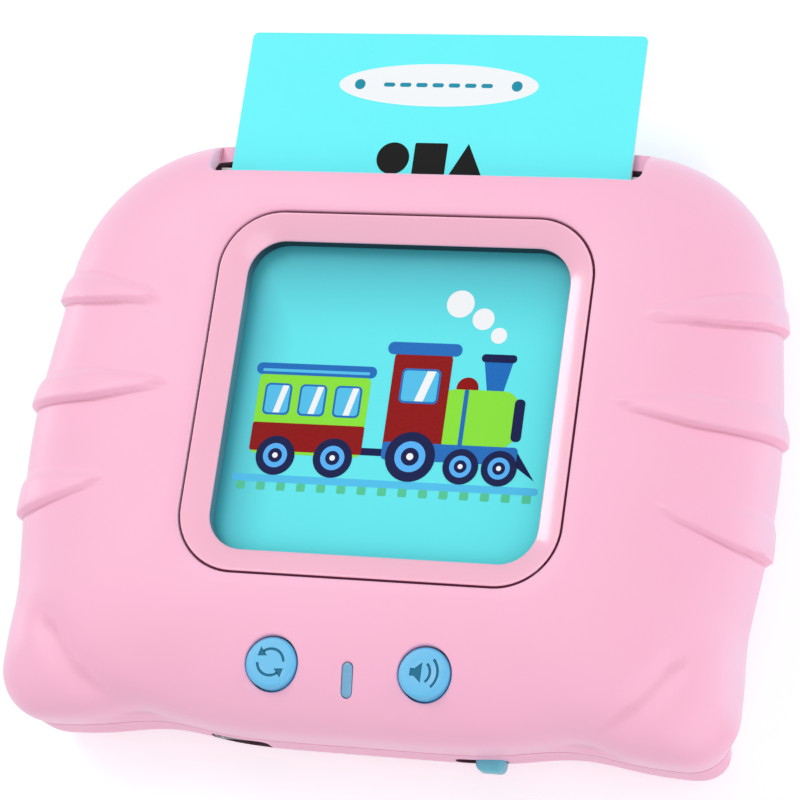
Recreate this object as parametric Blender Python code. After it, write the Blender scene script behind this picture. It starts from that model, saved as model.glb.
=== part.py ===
"""Card-reading learning tablet for small children, modelled in metres.

The tablet lies on its back: +Z leaves the front face, +Y points to the card
slot and +X to the right of the front. Its back face is on Z = 0, and the
middle of its window is on the Z axis.
"""

import math

import bmesh
import bpy
from mathutils import Vector

MM = 0.001

# Fits between pieces
SEAT_GAP = 0.3 * MM  # between a piece and what it rests on
SLIDE_GAP = 0.3 * MM  # round a piece that slides

# Outline of the body, seen from the front
BODY_TOP = 36.5 * MM
BODY_BOTTOM = -44.6 * MM
BODY_HALF_WIDTH = 49.7 * MM
SHOULDER_RADIUS = 22.0 * MM
SHOULDER_EASE = 1.5  # packs the shoulder's facets towards the first ridge
SIDE_SWELL = 1.8 * MM  # how far the sides bulge between shoulder and waist
SIDE_SWELL_POWER = 1.2
WAIST_Y = -28.0 * MM
PAW_RADIUS = 6.6 * MM
CHIN_VALLEY_X = 28.0 * MM
CHIN_VALLEY_DEPTH = 1.5 * MM
CHIN_VALLEY_WIDTH = 8.0 * MM

# Depth of the body
BODY_THICKNESS = 21.0 * MM
WALL = 2.0 * MM
SEAM_HEIGHT = 10.0 * MM  # where the two shells meet, above the back face
TONGUE_HEIGHT = 1.3 * MM
TONGUE_WALL = 0.7 * MM
FRONT_EDGE_DROP = 8.0 * MM  # how far the pillowed front falls to the side wall
FRONT_EDGE_POWER = 2.5  # a higher power keeps the middle flatter
REAR_EDGE_RADIUS = 6.0 * MM
SIDE_DRAFT = 0.4  # how much the side walls lean in for each unit of depth

# Raised ridges on both sides of the front: tip (x, y), slope, half width at the side
RIDGES = (
    (34.3 * MM, 12.6 * MM, 0.13, 2.5 * MM),
    (31.9 * MM, 0.5 * MM, -0.05, 2.6 * MM),
    (38.6 * MM, -13.2 * MM, -0.16, 3.1 * MM),
)
RIDGE_HEIGHT = 1.25 * MM
RIDGE_SIDE_SHARE = 0.7  # a ridge stands out this much less from the side than from the face
RIDGE_STEP = 0.9 * MM  # width of the steep lower flank
RIDGE_SHOULDER = 1.8 * MM  # width of the soft upper flank
RIDGE_TIP_RADIUS = 1.4 * MM
RIDGE_GROWTH = 11.0 * MM  # length over which a ridge rises to its full height
RIDGE_FADE = 2.5 * MM  # ridges run out this far above the seam

# Crease round each paw
PAW_CENTRE_X = 43.0 * MM
PAW_CENTRE_Y = -38.0 * MM
PAW_CREASE_RADIUS = 14.3 * MM
PAW_CREASE_DEPTH = 0.9 * MM
PAW_CREASE_WIDTH = 2.6 * MM
PAW_SWELL = 0.35 * MM

# Window and its bezel
WINDOW_HALF_X = 22.4 * MM
WINDOW_HALF_Y = 21.45 * MM
WINDOW_RADIUS = 5.0 * MM
BEZEL_WIDTH = 3.4 * MM
BEZEL_RADIUS = 8.2 * MM
BEZEL_DROP = 2.0 * MM
BEZEL_WALL = 1.2 * MM
BEZEL_FLANGE_WIDTH = 2.1 * MM
BEZEL_FLANGE_THICKNESS = 1.0 * MM

# Card, its slot and its tray
CARD_MARGIN = 5.6 * MM  # width of card hidden behind each side of the bezel
CARD_WIDTH = 2 * (WINDOW_HALF_X + CARD_MARGIN)
CARD_TAIL = 5.85 * MM  # height of card hidden below the window
CARD_THICKNESS = 0.5 * MM
CARD_RADIUS = 0.8 * MM
CARD_DEPTH = 4.4 * MM  # card's face below the front plane
CARD_SHOWING = 20.8 * MM  # height of card above the slot's front lip
CARD_FRAME_CLEARANCE = 0.4 * MM
LIP_SETBACK = 4.5 * MM  # front lip of the slot below the top of the body
SLOT_SIDE_ROOM = 2.2 * MM
SLOT_HALF_WIDTH = CARD_WIDTH / 2 + SLOT_SIDE_ROOM
SLOT_CORNER_RADIUS = 1.4 * MM
SLOT_BEHIND_CARD = 0.6 * MM
TRAY_FLOOR = 1.0 * MM
TRAY_RAIL_WIDTH = 1.5 * MM
TRAY_STOP_WIDTH = 1.2 * MM
TRAY_TOP_CLEARANCE = 1.5 * MM  # from the tray's end to the top wall
TRAY_BRIDGE_DEPTH = 3.2 * MM
TRAY_BRIDGE_THICKNESS = 0.6 * MM

# Reader under the tray
READER_HALF_X = 20.0 * MM
READER_FROM_CARD_END = 5.3 * MM  # the reader's middle above the card's lower end
READER_HALF_Y = 4.0 * MM
READER_THICKNESS = 1.0 * MM
SENSOR_PITCH = 8.0 * MM
SENSOR_COUNT = 4
SENSOR_SIZE = 2.4 * MM
SENSOR_HEIGHT = 0.8 * MM
STAKE_X = 17.6 * MM
STAKE_RADIUS = 0.9 * MM
STAKE_LENGTH = 1.9 * MM
RIBBON_HALF_WIDTH = 4.0 * MM
RIBBON_THICKNESS = 0.3 * MM
RIBBON_OVERLAP = 3.0 * MM  # length of ribbon on the main board

# Buttons and their push switches
BUTTON_X = 10.3 * MM
BUTTON_Y = -36.5 * MM
BUTTON_RADIUS = 3.4 * MM
BUTTON_PROUD = 0.3 * MM
BUTTON_EDGE = 0.35 * MM
BUTTON_FLANGE_WIDTH = 0.8 * MM
BUTTON_FLANGE_THICKNESS = 0.8 * MM
BUTTON_FLANGE_GAP = 0.5 * MM  # from a flange to the inside of the front shell
BUTTON_STEM_RADIUS = 2.0 * MM
BUTTON_TRAVEL = 0.8 * MM
PUSH_SWITCH_SIZE = 6.0 * MM
PUSH_SWITCH_HEIGHT = 3.2 * MM
PLUNGER_RADIUS = 1.6 * MM
PLUNGER_PROUD = 0.8 * MM
PLUNGER_HIDDEN = 1.0 * MM

# Indicator
LIGHT_PIPE_Y = -37.95 * MM
LIGHT_PIPE_HALF_X = 0.65 * MM
LIGHT_PIPE_HALF_Y = 2.15 * MM
LIGHT_PIPE_FLANGE_WIDTH = 0.7 * MM
LIGHT_PIPE_INSET = 0.15 * MM
LED_HALF_X = 1.5 * MM
LED_HALF_Y = 0.8 * MM
LED_HEIGHT = 2.0 * MM

# Main board
BOARD_DEPTH = 11.2 * MM  # upper side below the front plane
BOARD_THICKNESS = 1.6 * MM
BOARD_HALF_X = 26.5 * MM
BOARD_LOW_Y = -40.6 * MM
BOARD_HIGH_Y = -28.6 * MM
BOARD_RADIUS = 1.5 * MM
BOARD_SCREW_X = 23.5 * MM
BOARD_SCREW_Y = -32.4 * MM
BOARD_SCREW_RADIUS = 1.0 * MM
BOARD_SCREW_LENGTH = 6.0 * MM
BOARD_SCREW_HEAD_RADIUS = 2.0 * MM
BOARD_SCREW_HEAD_HEIGHT = 1.4 * MM
BOARD_POST_RADIUS = 2.2 * MM
BOARD_SCREW_POINT = 0.8 * MM
CHIP_X = 0.0 * MM
CHIP_Y = -34.6 * MM
CHIP_RADIUS = 4.2 * MM
CHIP_HEIGHT = 1.5 * MM
MEMORY_X = -8.5 * MM
MEMORY_Y = -34.6 * MM
MEMORY_HALF_X = 2.6 * MM
MEMORY_HALF_Y = 2.0 * MM
MEMORY_HEIGHT = 1.6 * MM
CAPACITOR_X = -13.8 * MM
CAPACITOR_Y = -32.4 * MM
CAPACITOR_RADIUS = 2.0 * MM
CAPACITOR_HEIGHT = 4.0 * MM
CAPACITOR_EDGE = 0.4 * MM

# Charging socket
USB_X = -17.85 * MM
USB_WIDTH = 7.3 * MM
USB_HEIGHT = 2.8 * MM
USB_LENGTH = 5.4 * MM
USB_RECESS = 0.5 * MM  # mouth behind the outside of the wall
USB_SHELL = 0.35 * MM
USB_TONGUE_HEIGHT = 0.6 * MM
USB_RADIUS = 0.9 * MM

# Power switch
KNOB_X = 16.6 * MM
KNOB_WIDTH = 3.8 * MM
KNOB_HEIGHT = 3.0 * MM
KNOB_PROUD = 1.4 * MM
KNOB_TRAVEL = 2.4 * MM
KNOB_FLANGE_GAP = 0.5 * MM  # from the curved wall to the knob's flange
KNOB_FLANGE_WIDTH = 1.3 * MM
KNOB_FLANGE_HEIGHT = 0.6 * MM
KNOB_FLANGE_THICKNESS = 0.8 * MM
KNOB_RADIUS = 0.5 * MM
KNOB_EDGE = 0.4 * MM
SWITCH_SETBACK = 0.7 * MM  # from the actuator's root to the switch housing
SWITCH_BODY_LENGTH = 8.6 * MM
SWITCH_BODY_WIDTH = 3.5 * MM
SWITCH_BODY_HEIGHT = 3.3 * MM
ACTUATOR_SIZE = 1.5 * MM
ACTUATOR_HIDDEN = 1.9 * MM

# Speaker
SPEAKER_Y = 14.5 * MM
SPEAKER_RADIUS = 16.0 * MM
SPEAKER_FLANGE = 1.0 * MM
SPEAKER_HEIGHT = 5.2 * MM
SPEAKER_BACK_RADIUS = 0.575 * SPEAKER_RADIUS
SPEAKER_METAL = 0.8 * MM
SPEAKER_RIM = 1.4 * MM
SPEAKER_POLE_RADIUS = SPEAKER_BACK_RADIUS / 2
CONE_RADIUS = 0.825 * SPEAKER_RADIUS
CONE_DEPTH = 2.8 * MM
CONE_PAPER = 0.4 * MM
CONE_LIFT = 0.2 * MM
MAGNET_INSET = 0.2 * MM  # the magnet is this much smaller than the basket's back
MAGNET_RADIUS = SPEAKER_BACK_RADIUS - MAGNET_INSET
MAGNET_HEIGHT = 4.0 * MM
MAGNET_EDGE = 0.5 * MM
SPEAKER_FENCE_WALL = 1.2 * MM
SPEAKER_FENCE_HEIGHT = 3.0 * MM
GRILLE_HOLE_RADIUS = 1.0 * MM
GRILLE_PITCH = 4.2 * MM
GRILLE_RINGS = 2

# Battery
BATTERY_X = 0.0 * MM
BATTERY_Y = -17.0 * MM
BATTERY_HALF_X = 20.0 * MM
BATTERY_HALF_Y = 10.0 * MM
BATTERY_THICKNESS = 5.0 * MM
BATTERY_EDGE = 1.2 * MM
PAD_THICKNESS = 1.0 * MM
PAD_MARGIN = 3.0 * MM

# Screws of the case
HIGH_SCREW_FROM_SIDE = 12.7 * MM
HIGH_SCREW_FROM_TOP = 16.5 * MM
LOW_SCREW_FROM_SIDE = 13.2 * MM
LOW_SCREW_FROM_BOTTOM = 14.6 * MM
CASE_SCREWS = (
    (BODY_HALF_WIDTH - HIGH_SCREW_FROM_SIDE, BODY_TOP - HIGH_SCREW_FROM_TOP),
    (BODY_HALF_WIDTH - LOW_SCREW_FROM_SIDE, BODY_BOTTOM + LOW_SCREW_FROM_BOTTOM),
)
CASE_SCREW_RADIUS = 1.3 * MM
CASE_SCREW_LENGTH = 10.0 * MM
CASE_SCREW_HEAD_RADIUS = 2.6 * MM
CASE_SCREW_HEAD_HEIGHT = 1.8 * MM
CASE_SCREW_POINT = 1.2 * MM
SCREW_CROWN_WIDTH = 0.45 * MM
SCREW_CROWN_HEIGHT = 0.6 * MM
SCREW_POINT_SHARE = 0.3  # radius of a screw's tip as a share of its shank's
CASE_POST_RADIUS = 3.0 * MM
CASE_POST_END = 9.0 * MM  # height of the front posts' ends above the back face
POST_SINK = 0.1 * MM  # how far the posts run into the roof
SCREW_WELL_DEPTH = 5.0 * MM
SCREW_WELL_WALL = 1.3 * MM
PILLAR_X = 26.0 * MM
PILLAR_YS = (28.0 * MM, -23.5 * MM)
PILLAR_RADIUS = 1.8 * MM

# Leads
LEAD_RADIUS = 0.55 * MM
BATTERY_LEAD_X = 6.0 * MM
BATTERY_LEAD_SAG = 1.0 * MM
BATTERY_LEAD_RUN = 4.2 * MM  # from the cell's end to where the lead turns up
SPEAKER_LEAD_ANGLE = math.radians(46.3)  # where a lead leaves the basket
SPEAKER_LEAD_INSET = 0.8 * MM  # from the basket's rim to the lead's end on it
SPEAKER_LEAD_CLEARANCE = 1.45 * MM  # past the fence before the lead goes down
SPEAKER_LEAD_ARCH = 0.3 * MM
SPEAKER_LEAD_RUN = 8.6 * MM  # from the basket's rim to the floor
SPEAKER_LEAD_FALL = 1.0 * MM
LANE_GAP = 2.6 * MM  # from the cell's side to the lead beside it
LANE_LIFT = 0.4 * MM
LANE_TURN = 1.4 * MM
LANE_RISE = 2.5 * MM
LEAD_ON_BOARD = 2.4 * MM  # from the board's edge to a lead's end under it

# Facets
FRONT_RINGS = 11
INNER_RINGS = 4
REAR_RINGS = 3
CORNER_STEPS = 5
ROUND_STEPS = 24
HIDDEN_ROUND_STEPS = 18
SMALL_ROUND_STEPS = 12

# Levels that follow from the sizes above
FRONT_Z = BODY_THICKNESS
CARD_FACE_Z = FRONT_Z - CARD_DEPTH
CARD_BACK_Z = CARD_FACE_Z - CARD_THICKNESS
SLOT_LIP_Y = BODY_TOP - LIP_SETBACK
CARD_TOP_Y = SLOT_LIP_Y + CARD_SHOWING
CARD_BOTTOM_Y = -(WINDOW_HALF_Y + CARD_TAIL)
CARD_HEIGHT = CARD_TOP_Y - CARD_BOTTOM_Y
READER_Y = CARD_BOTTOM_Y + READER_FROM_CARD_END
TRAY_TOP_Z = CARD_BACK_Z - SLIDE_GAP
TRAY_UNDER_Z = TRAY_TOP_Z - TRAY_FLOOR
FRAME_BOTTOM_Z = CARD_FACE_Z + CARD_FRAME_CLEARANCE
FLANGE_TOP_Z = FRONT_Z - WALL - SEAT_GAP
FLANGE_UNDER_Z = FLANGE_TOP_Z - BEZEL_FLANGE_THICKNESS
READER_TOP_Z = TRAY_UNDER_Z - SEAT_GAP
READER_UNDER_Z = READER_TOP_Z - READER_THICKNESS
BOARD_TOP_Z = FRONT_Z - BOARD_DEPTH
BOARD_UNDER_Z = BOARD_TOP_Z - BOARD_THICKNESS
UNDER_BOARD_Z = BOARD_UNDER_Z - SEAT_GAP
ON_BOARD_Z = BOARD_TOP_Z + SEAT_GAP
PUSH_SWITCH_TOP_Z = ON_BOARD_Z + PUSH_SWITCH_HEIGHT
FLOOR_Z = WALL
SWITCH_Z = UNDER_BOARD_Z - SWITCH_BODY_HEIGHT / 2
USB_Z = UNDER_BOARD_Z - USB_HEIGHT / 2
HOLE_HALF_X = WINDOW_HALF_X + BEZEL_WIDTH + SEAT_GAP
HOLE_HALF_Y = WINDOW_HALF_Y + BEZEL_WIDTH + SEAT_GAP
HOLE_RADIUS = BEZEL_RADIUS + SEAT_GAP
WALL_TOP_Z = FRONT_Z - FRONT_EDGE_DROP  # where the pillowed face ends in the side wall
PAST = 1.0 * MM  # how far a cutter runs past what it cuts


# ---------------------------------------------------------------- outline


def side_x(y):
    """Half width of the body at a height between the shoulder and the paw."""
    shoulder_y = BODY_TOP - SHOULDER_RADIUS
    along = (shoulder_y - y) / (shoulder_y - WAIST_Y)
    if along <= 0.0 or along >= 1.0:
        return BODY_HALF_WIDTH
    return BODY_HALF_WIDTH + SIDE_SWELL * math.sin(math.pi * along) ** SIDE_SWELL_POWER


def bottom_y(x):
    """Lower edge of the body: a shallow valley lies between chin and paw."""
    away = (abs(x) - CHIN_VALLEY_X) / CHIN_VALLEY_WIDTH
    return BODY_BOTTOM + CHIN_VALLEY_DEPTH * math.exp(-away * away)


def half_outline(top, shoulder, side, low_side, paw, bottom):
    """Right half of the outline, from the top's middle to the bottom's middle."""
    shoulder_x = BODY_HALF_WIDTH - SHOULDER_RADIUS
    shoulder_y = BODY_TOP - SHOULDER_RADIUS
    ridge_end_y = RIDGES[-1][1] - 2.2 * RIDGES[-1][3]
    paw_x = BODY_HALF_WIDTH - PAW_RADIUS
    paw_y = bottom_y(paw_x) + PAW_RADIUS
    points = [(shoulder_x * i / top, BODY_TOP) for i in range(top)]
    for i in range(shoulder):
        angle = math.pi / 2 * (1 - i / shoulder) ** SHOULDER_EASE
        points.append((shoulder_x + SHOULDER_RADIUS * math.cos(angle),
                       shoulder_y + SHOULDER_RADIUS * math.sin(angle)))
    for i in range(side):
        y = shoulder_y + (ridge_end_y - shoulder_y) * i / side
        points.append((side_x(y), y))
    for i in range(low_side):
        y = ridge_end_y + (paw_y - ridge_end_y) * i / low_side
        points.append((side_x(y), y))
    for i in range(paw):
        angle = -math.pi / 2 * i / paw
        points.append((paw_x + PAW_RADIUS * math.cos(angle), paw_y + PAW_RADIUS * math.sin(angle)))
    for i in range(bottom + 1):
        x = paw_x * (1 - i / bottom)
        points.append((x, bottom_y(x)))
    return points


def body_outline(top=4, shoulder=12, side=28, low_side=5, paw=4, bottom=10):
    """Closed outline of the body, clockwise from the top's middle."""
    right = half_outline(top, shoulder, side, low_side, paw, bottom)
    left = [(-x, y) for x, y in reversed(right[1:-1])]
    return right + left


def outline_normals(points):
    """Outward unit normals of a clockwise outline."""
    normals = []
    for i in range(len(points)):
        before = points[i - 1]
        after = points[(i + 1) % len(points)]
        direction = Vector((after[0] - before[0], after[1] - before[1])).normalized()
        normals.append((-direction.y, direction.x))
    return normals


def side_draft(normal, z):
    """How far a wall leans in at a height; only the walls at the sides do."""
    depth = WALL_TOP_Z - max(z, REAR_EDGE_RADIUS)
    return SIDE_DRAFT * max(depth, 0.0) * normal[0] ** 4


def wall_outline(points, z, inset=0.0):
    """The outline at a height of the wall, moved inwards by an inset."""
    level = []
    for (x, y), normal in zip(points, outline_normals(points)):
        distance = inset + side_draft(normal, z)
        level.append((x - normal[0] * distance, y - normal[1] * distance))
    return level


def rounded_reach(direction, half_x, half_y, radius):
    """Distance from the middle of a rounded rectangle to its edge, along a unit direction."""
    across = abs(direction[0])
    up = abs(direction[1])
    if across > 0 and half_x * up / across <= half_y - radius:
        return half_x / across
    if up > 0 and half_y * across / up <= half_x - radius:
        return half_y / up
    corner_x = half_x - radius
    corner_y = half_y - radius
    middle = across * corner_x + up * corner_y
    spare = middle * middle - corner_x * corner_x - corner_y * corner_y + radius * radius
    return middle + math.sqrt(max(spare, 0.0))


def window_point(x, y):
    """Point of the front shell's window hole in the direction of (x, y)."""
    length = math.hypot(x, y)
    direction = (x / length, y / length)
    reach = rounded_reach(direction, HOLE_HALF_X, HOLE_HALF_Y, HOLE_RADIUS)
    return direction[0] * reach, direction[1] * reach


def pillow_drop(share, drop):
    """Fall of a pillowed face at a share of the way from the window to the side."""
    return drop * (1 - (1 - min(share, 1.0) ** FRONT_EDGE_POWER) ** (1 / FRONT_EDGE_POWER))


def face_z(x, y, depth=0.0):
    """Height of the front face below the window, or of a face at a depth inside it."""
    length = math.hypot(x, y)
    start = math.hypot(*window_point(x, y))
    direction = (x / length, y / length)
    end = start
    for _ in range(20):
        end = (bottom_y(direction[0] * end) + depth) / direction[1]
    share = (length - start) / (end - start)
    return FRONT_Z - depth - pillow_drop(share, FRONT_EDGE_DROP - depth)


def flange_z():
    """Upper side of the flanges that keep the buttons and the lens in the front shell."""
    button_low_y = BUTTON_Y - BUTTON_RADIUS - BUTTON_FLANGE_WIDTH
    lens_low_y = LIGHT_PIPE_Y - LIGHT_PIPE_HALF_Y - LIGHT_PIPE_FLANGE_WIDTH
    button_face = face_z(BUTTON_X, button_low_y, WALL)
    return min(button_face, face_z(0.0, lens_low_y, WALL)) - BUTTON_FLANGE_GAP


# ----------------------------------------------------------------- relief


def smooth(value):
    """Smooth step from 0 to 1."""
    value = min(max(value, 0.0), 1.0)
    return value * value * (3 - 2 * value)


def ridge_height(x, y):
    """Height of the side ridges over the shell at (x, y)."""
    height = 0.0
    for tip_x, tip_y, slope, half_width in RIDGES:
        along = abs(x) - tip_x
        if along <= 0:
            continue
        centre = tip_y + slope * along
        growth = smooth(along / RIDGE_GROWTH)
        spread = RIDGE_TIP_RADIUS + (half_width - RIDGE_TIP_RADIUS) * growth
        spread *= math.sqrt(min(along / RIDGE_TIP_RADIUS, 1.0))
        from_lower = y - (centre - spread)
        from_upper = (centre + spread) - y
        if from_lower <= 0 or from_upper <= 0:
            continue
        lower_flank = smooth(from_lower / RIDGE_STEP)
        upper_flank = (smooth(from_upper / min(RIDGE_SHOULDER, spread))
                       + smooth(from_upper / (2 * spread - RIDGE_STEP))) / 2
        height = max(height, RIDGE_HEIGHT * (0.35 + 0.65 * growth) * lower_flank * upper_flank)
    return height


def paw_height(x, y, share):
    """Swell of the paw and the crease round it; the crease deepens towards the side."""
    away = math.hypot(abs(x) - PAW_CENTRE_X, y - PAW_CENTRE_Y)
    if y > PAW_CENTRE_Y + 1.4 * PAW_CREASE_RADIUS:
        return 0.0
    crease = math.exp(-((away - PAW_CREASE_RADIUS) / PAW_CREASE_WIDTH) ** 2)
    swell = 1 - smooth(away / PAW_CREASE_RADIUS)
    return PAW_SWELL * swell - PAW_CREASE_DEPTH * crease * smooth((share - 0.25) / 0.5)


def relief(x, y, share, above_seam):
    """Height of ridges and paws over the plain shell, running out at the seam."""
    fade = smooth(above_seam / RIDGE_FADE)
    return (ridge_height(x, y) + paw_height(x, y, share)) * fade


# ---------------------------------------------------------------- helpers


def clear_scene():
    """Remove every object."""
    for thing in list(bpy.data.objects):
        bpy.data.objects.remove(thing, do_unlink=True)


def material(name, colour, roughness, metallic=0.0):
    """Principled material of one piece."""
    made = bpy.data.materials.new(name)
    made.use_nodes = True
    shader = made.node_tree.nodes["Principled BSDF"]
    shader.inputs["Base Color"].default_value = (*colour, 1.0)
    shader.inputs["Roughness"].default_value = roughness
    shader.inputs["Metallic"].default_value = metallic
    made.diffuse_color = (*colour, 1.0)
    return made


def add_object(name, mesh, finish=None, location=(0, 0, 0), parent=None):
    """Turn a bmesh into an object with its own material."""
    bmesh.ops.recalc_face_normals(mesh, faces=mesh.faces)
    data = bpy.data.meshes.new(name)
    mesh.to_mesh(data)
    mesh.free()
    data.shade_smooth()
    data.set_sharp_from_angle(angle=math.radians(35))
    made = bpy.data.objects.new(name, data)
    bpy.context.scene.collection.objects.link(made)
    made.location = location
    made.parent = parent
    if finish:
        data.materials.append(material(name, *finish))
    return made


def add_empty(name, location):
    """Empty on the axis of a sliding piece."""
    made = bpy.data.objects.new(name, None)
    bpy.context.scene.collection.objects.link(made)
    made.location = location
    return made


def loft(rings, closed=False, into=None):
    """Skin a row of rings of equal length; a closed row goes round like a frame."""
    mesh = into or bmesh.new()
    rows = [[mesh.verts.new(point) for point in ring] for ring in rings]
    pairs = list(zip(rows, rows[1:]))
    if closed:
        pairs.append((rows[-1], rows[0]))
    else:
        mesh.faces.new(rows[0])
        mesh.faces.new(rows[-1])
    for lower, upper in pairs:
        for i in range(len(lower)):
            j = (i + 1) % len(lower)
            mesh.faces.new((lower[i], lower[j], upper[j], upper[i]))
    return mesh


def ring(points, z):
    """Flat ring of (x, y) points at one height."""
    return [(x, y, z) for x, y in points]


def rounded_rectangle(half_x, half_y, radius, steps=CORNER_STEPS, centre=(0, 0)):
    """Corner points of a rounded rectangle, anticlockwise."""
    points = []
    for quarter, (side, rise) in enumerate(((1, 1), (-1, 1), (-1, -1), (1, -1))):
        for i in range(steps + 1):
            angle = math.pi / 2 * (quarter + i / steps)
            points.append((centre[0] + side * (half_x - radius) + radius * math.cos(angle),
                           centre[1] + rise * (half_y - radius) + radius * math.sin(angle)))
    return points


def circle(radius, steps=ROUND_STEPS, centre=(0, 0)):
    """Points round a circle."""
    turns = [2 * math.pi * i / steps for i in range(steps)]
    return [(centre[0] + radius * math.cos(a), centre[1] + radius * math.sin(a)) for a in turns]


def prism(points, low_z, high_z, into=None):
    """Straight prism on an outline."""
    return loft([ring(points, low_z), ring(points, high_z)], into=into)


def turned(profile, steps=ROUND_STEPS, centre=(0, 0), closed=False, into=None):
    """Turned piece from (radius, z) points."""
    rings = [ring(circle(radius, steps, centre), z) for radius, z in profile]
    return loft(rings, closed=closed, into=into)


def block(low, high, into=None):
    """Plain block between two corners."""
    corners = ((low[0], low[1]), (high[0], low[1]), (high[0], high[1]), (low[0], high[1]))
    return prism(corners, low[2], high[2], into=into)


def bevelled(thing, width, segments=1):
    """Round the sharp edges of a plain piece."""
    bevel = thing.modifiers.new("edges", "BEVEL")
    bevel.width = width
    bevel.segments = segments
    bevel.limit_method = "ANGLE"
    bevel.angle_limit = math.radians(50)
    return thing


def combine(thing, mesh, operation, name):
    """Cut a helper shape out of a piece, or join it on."""
    helper = add_object(f"{thing.name}_{name}", mesh)
    helper.hide_render = True
    helper.display_type = "WIRE"
    boolean = thing.modifiers.new(name, "BOOLEAN")
    boolean.operation = operation
    boolean.solver = "EXACT"
    boolean.object = helper
    return thing


def cut(thing, mesh, name):
    """Cut a helper shape out of a piece."""
    return combine(thing, mesh, "DIFFERENCE", name)


def join(thing, mesh, name):
    """Join a helper shape onto a piece."""
    return combine(thing, mesh, "UNION", name)


def mirrored_places(places):
    """Each place and its mirror image."""
    return [(side * x, y) for x, y in places for side in (1, -1)]


# ------------------------------------------------------------ front shell

PINK = ((1.0, 0.5, 0.66), 0.42)
PINK_FRAME = ((1.0, 0.46, 0.62), 0.4)
SKY_BLUE = ((0.1, 0.55, 0.85), 0.35)
TEAL = ((0.05, 0.45, 0.6), 0.35)
CREAM = ((0.85, 0.84, 0.8), 0.5)
BOARD_GREEN = ((0.02, 0.2, 0.08), 0.45)
BLACK = ((0.015, 0.015, 0.017), 0.5)
STEEL = ((0.6, 0.6, 0.62), 0.3, 1.0)
CARD = ((0.13, 0.85, 0.9), 0.45)


def outer_rings(points):
    """Rings of the pillowed outside, from the window hole to the seam."""
    normals = outline_normals(points)
    rings = []
    for step in range(FRONT_RINGS + 1):
        angle = math.pi / 2 * step / FRONT_RINGS
        share = math.sin(angle) ** (2 / FRONT_EDGE_POWER)
        drop = FRONT_EDGE_DROP * (1 - math.cos(angle) ** (2 / FRONT_EDGE_POWER))
        loop = []
        for (x, y), normal in zip(points, normals):
            start_x, start_y = window_point(x, y)
            here_x = start_x + (x - start_x) * share
            here_y = start_y + (y - start_y) * share
            here_z = FRONT_Z - drop
            raised = relief(here_x, here_y, share, here_z - SEAM_HEIGHT)
            outwards = RIDGE_SIDE_SHARE * raised * math.sin(angle) ** 2
            loop.append((here_x + normal[0] * outwards, here_y + normal[1] * outwards,
                         here_z + raised * math.cos(angle) ** 0.7))
        rings.append(loop)
    for share in (0.4, 0.75):
        z = WALL_TOP_Z + (SEAM_HEIGHT - WALL_TOP_Z) * share
        loop = []
        for (x, y), normal in zip(points, normals):
            raised = relief(x, y, 1.0, z - SEAM_HEIGHT)
            outwards = RIDGE_SIDE_SHARE * raised - side_draft(normal, z)
            loop.append((x + normal[0] * outwards, y + normal[1] * outwards, z))
        rings.append(loop)
    rings.append(ring(wall_outline(points, SEAM_HEIGHT), SEAM_HEIGHT))
    return rings


def inner_rings(points):
    """Rings of the inside, from the seam's rebate back to the window hole."""
    rebate = wall_outline(points, SEAM_HEIGHT, WALL - TONGUE_WALL - SEAT_GAP)
    inner_foot = wall_outline(points, SEAM_HEIGHT, WALL)
    inner = wall_outline(points, WALL_TOP_Z, WALL)
    rebate_z = SEAM_HEIGHT + TONGUE_HEIGHT
    rings = [ring(rebate, SEAM_HEIGHT), ring(rebate, rebate_z), ring(inner_foot, rebate_z)]
    for step in range(INNER_RINGS, -1, -1):
        angle = math.pi / 2 * step / INNER_RINGS
        share = math.sin(angle) ** (2 / FRONT_EDGE_POWER)
        drop = (FRONT_EDGE_DROP - WALL) * (1 - math.cos(angle) ** (2 / FRONT_EDGE_POWER))
        loop = []
        for (x, y), (inner_x, inner_y) in zip(points, inner):
            start_x, start_y = window_point(x, y)
            loop.append((start_x + (inner_x - start_x) * share,
                         start_y + (inner_y - start_y) * share,
                         FRONT_Z - WALL - drop))
        rings.append(loop)
    return rings


def slot_cutter():
    """Notch in the top edge and the slot behind it, with rounded lower corners."""
    low_z = TRAY_TOP_Z - SLOT_BEHIND_CARD + SLIDE_GAP
    middle_y = (SLOT_LIP_Y + BODY_TOP + 3 * PAST) / 2
    half_y = middle_y - SLOT_LIP_Y
    points = rounded_rectangle(SLOT_HALF_WIDTH, half_y, SLOT_CORNER_RADIUS, 3, (0, middle_y))
    return prism(points, low_z, FRONT_Z + PAST)


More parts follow.
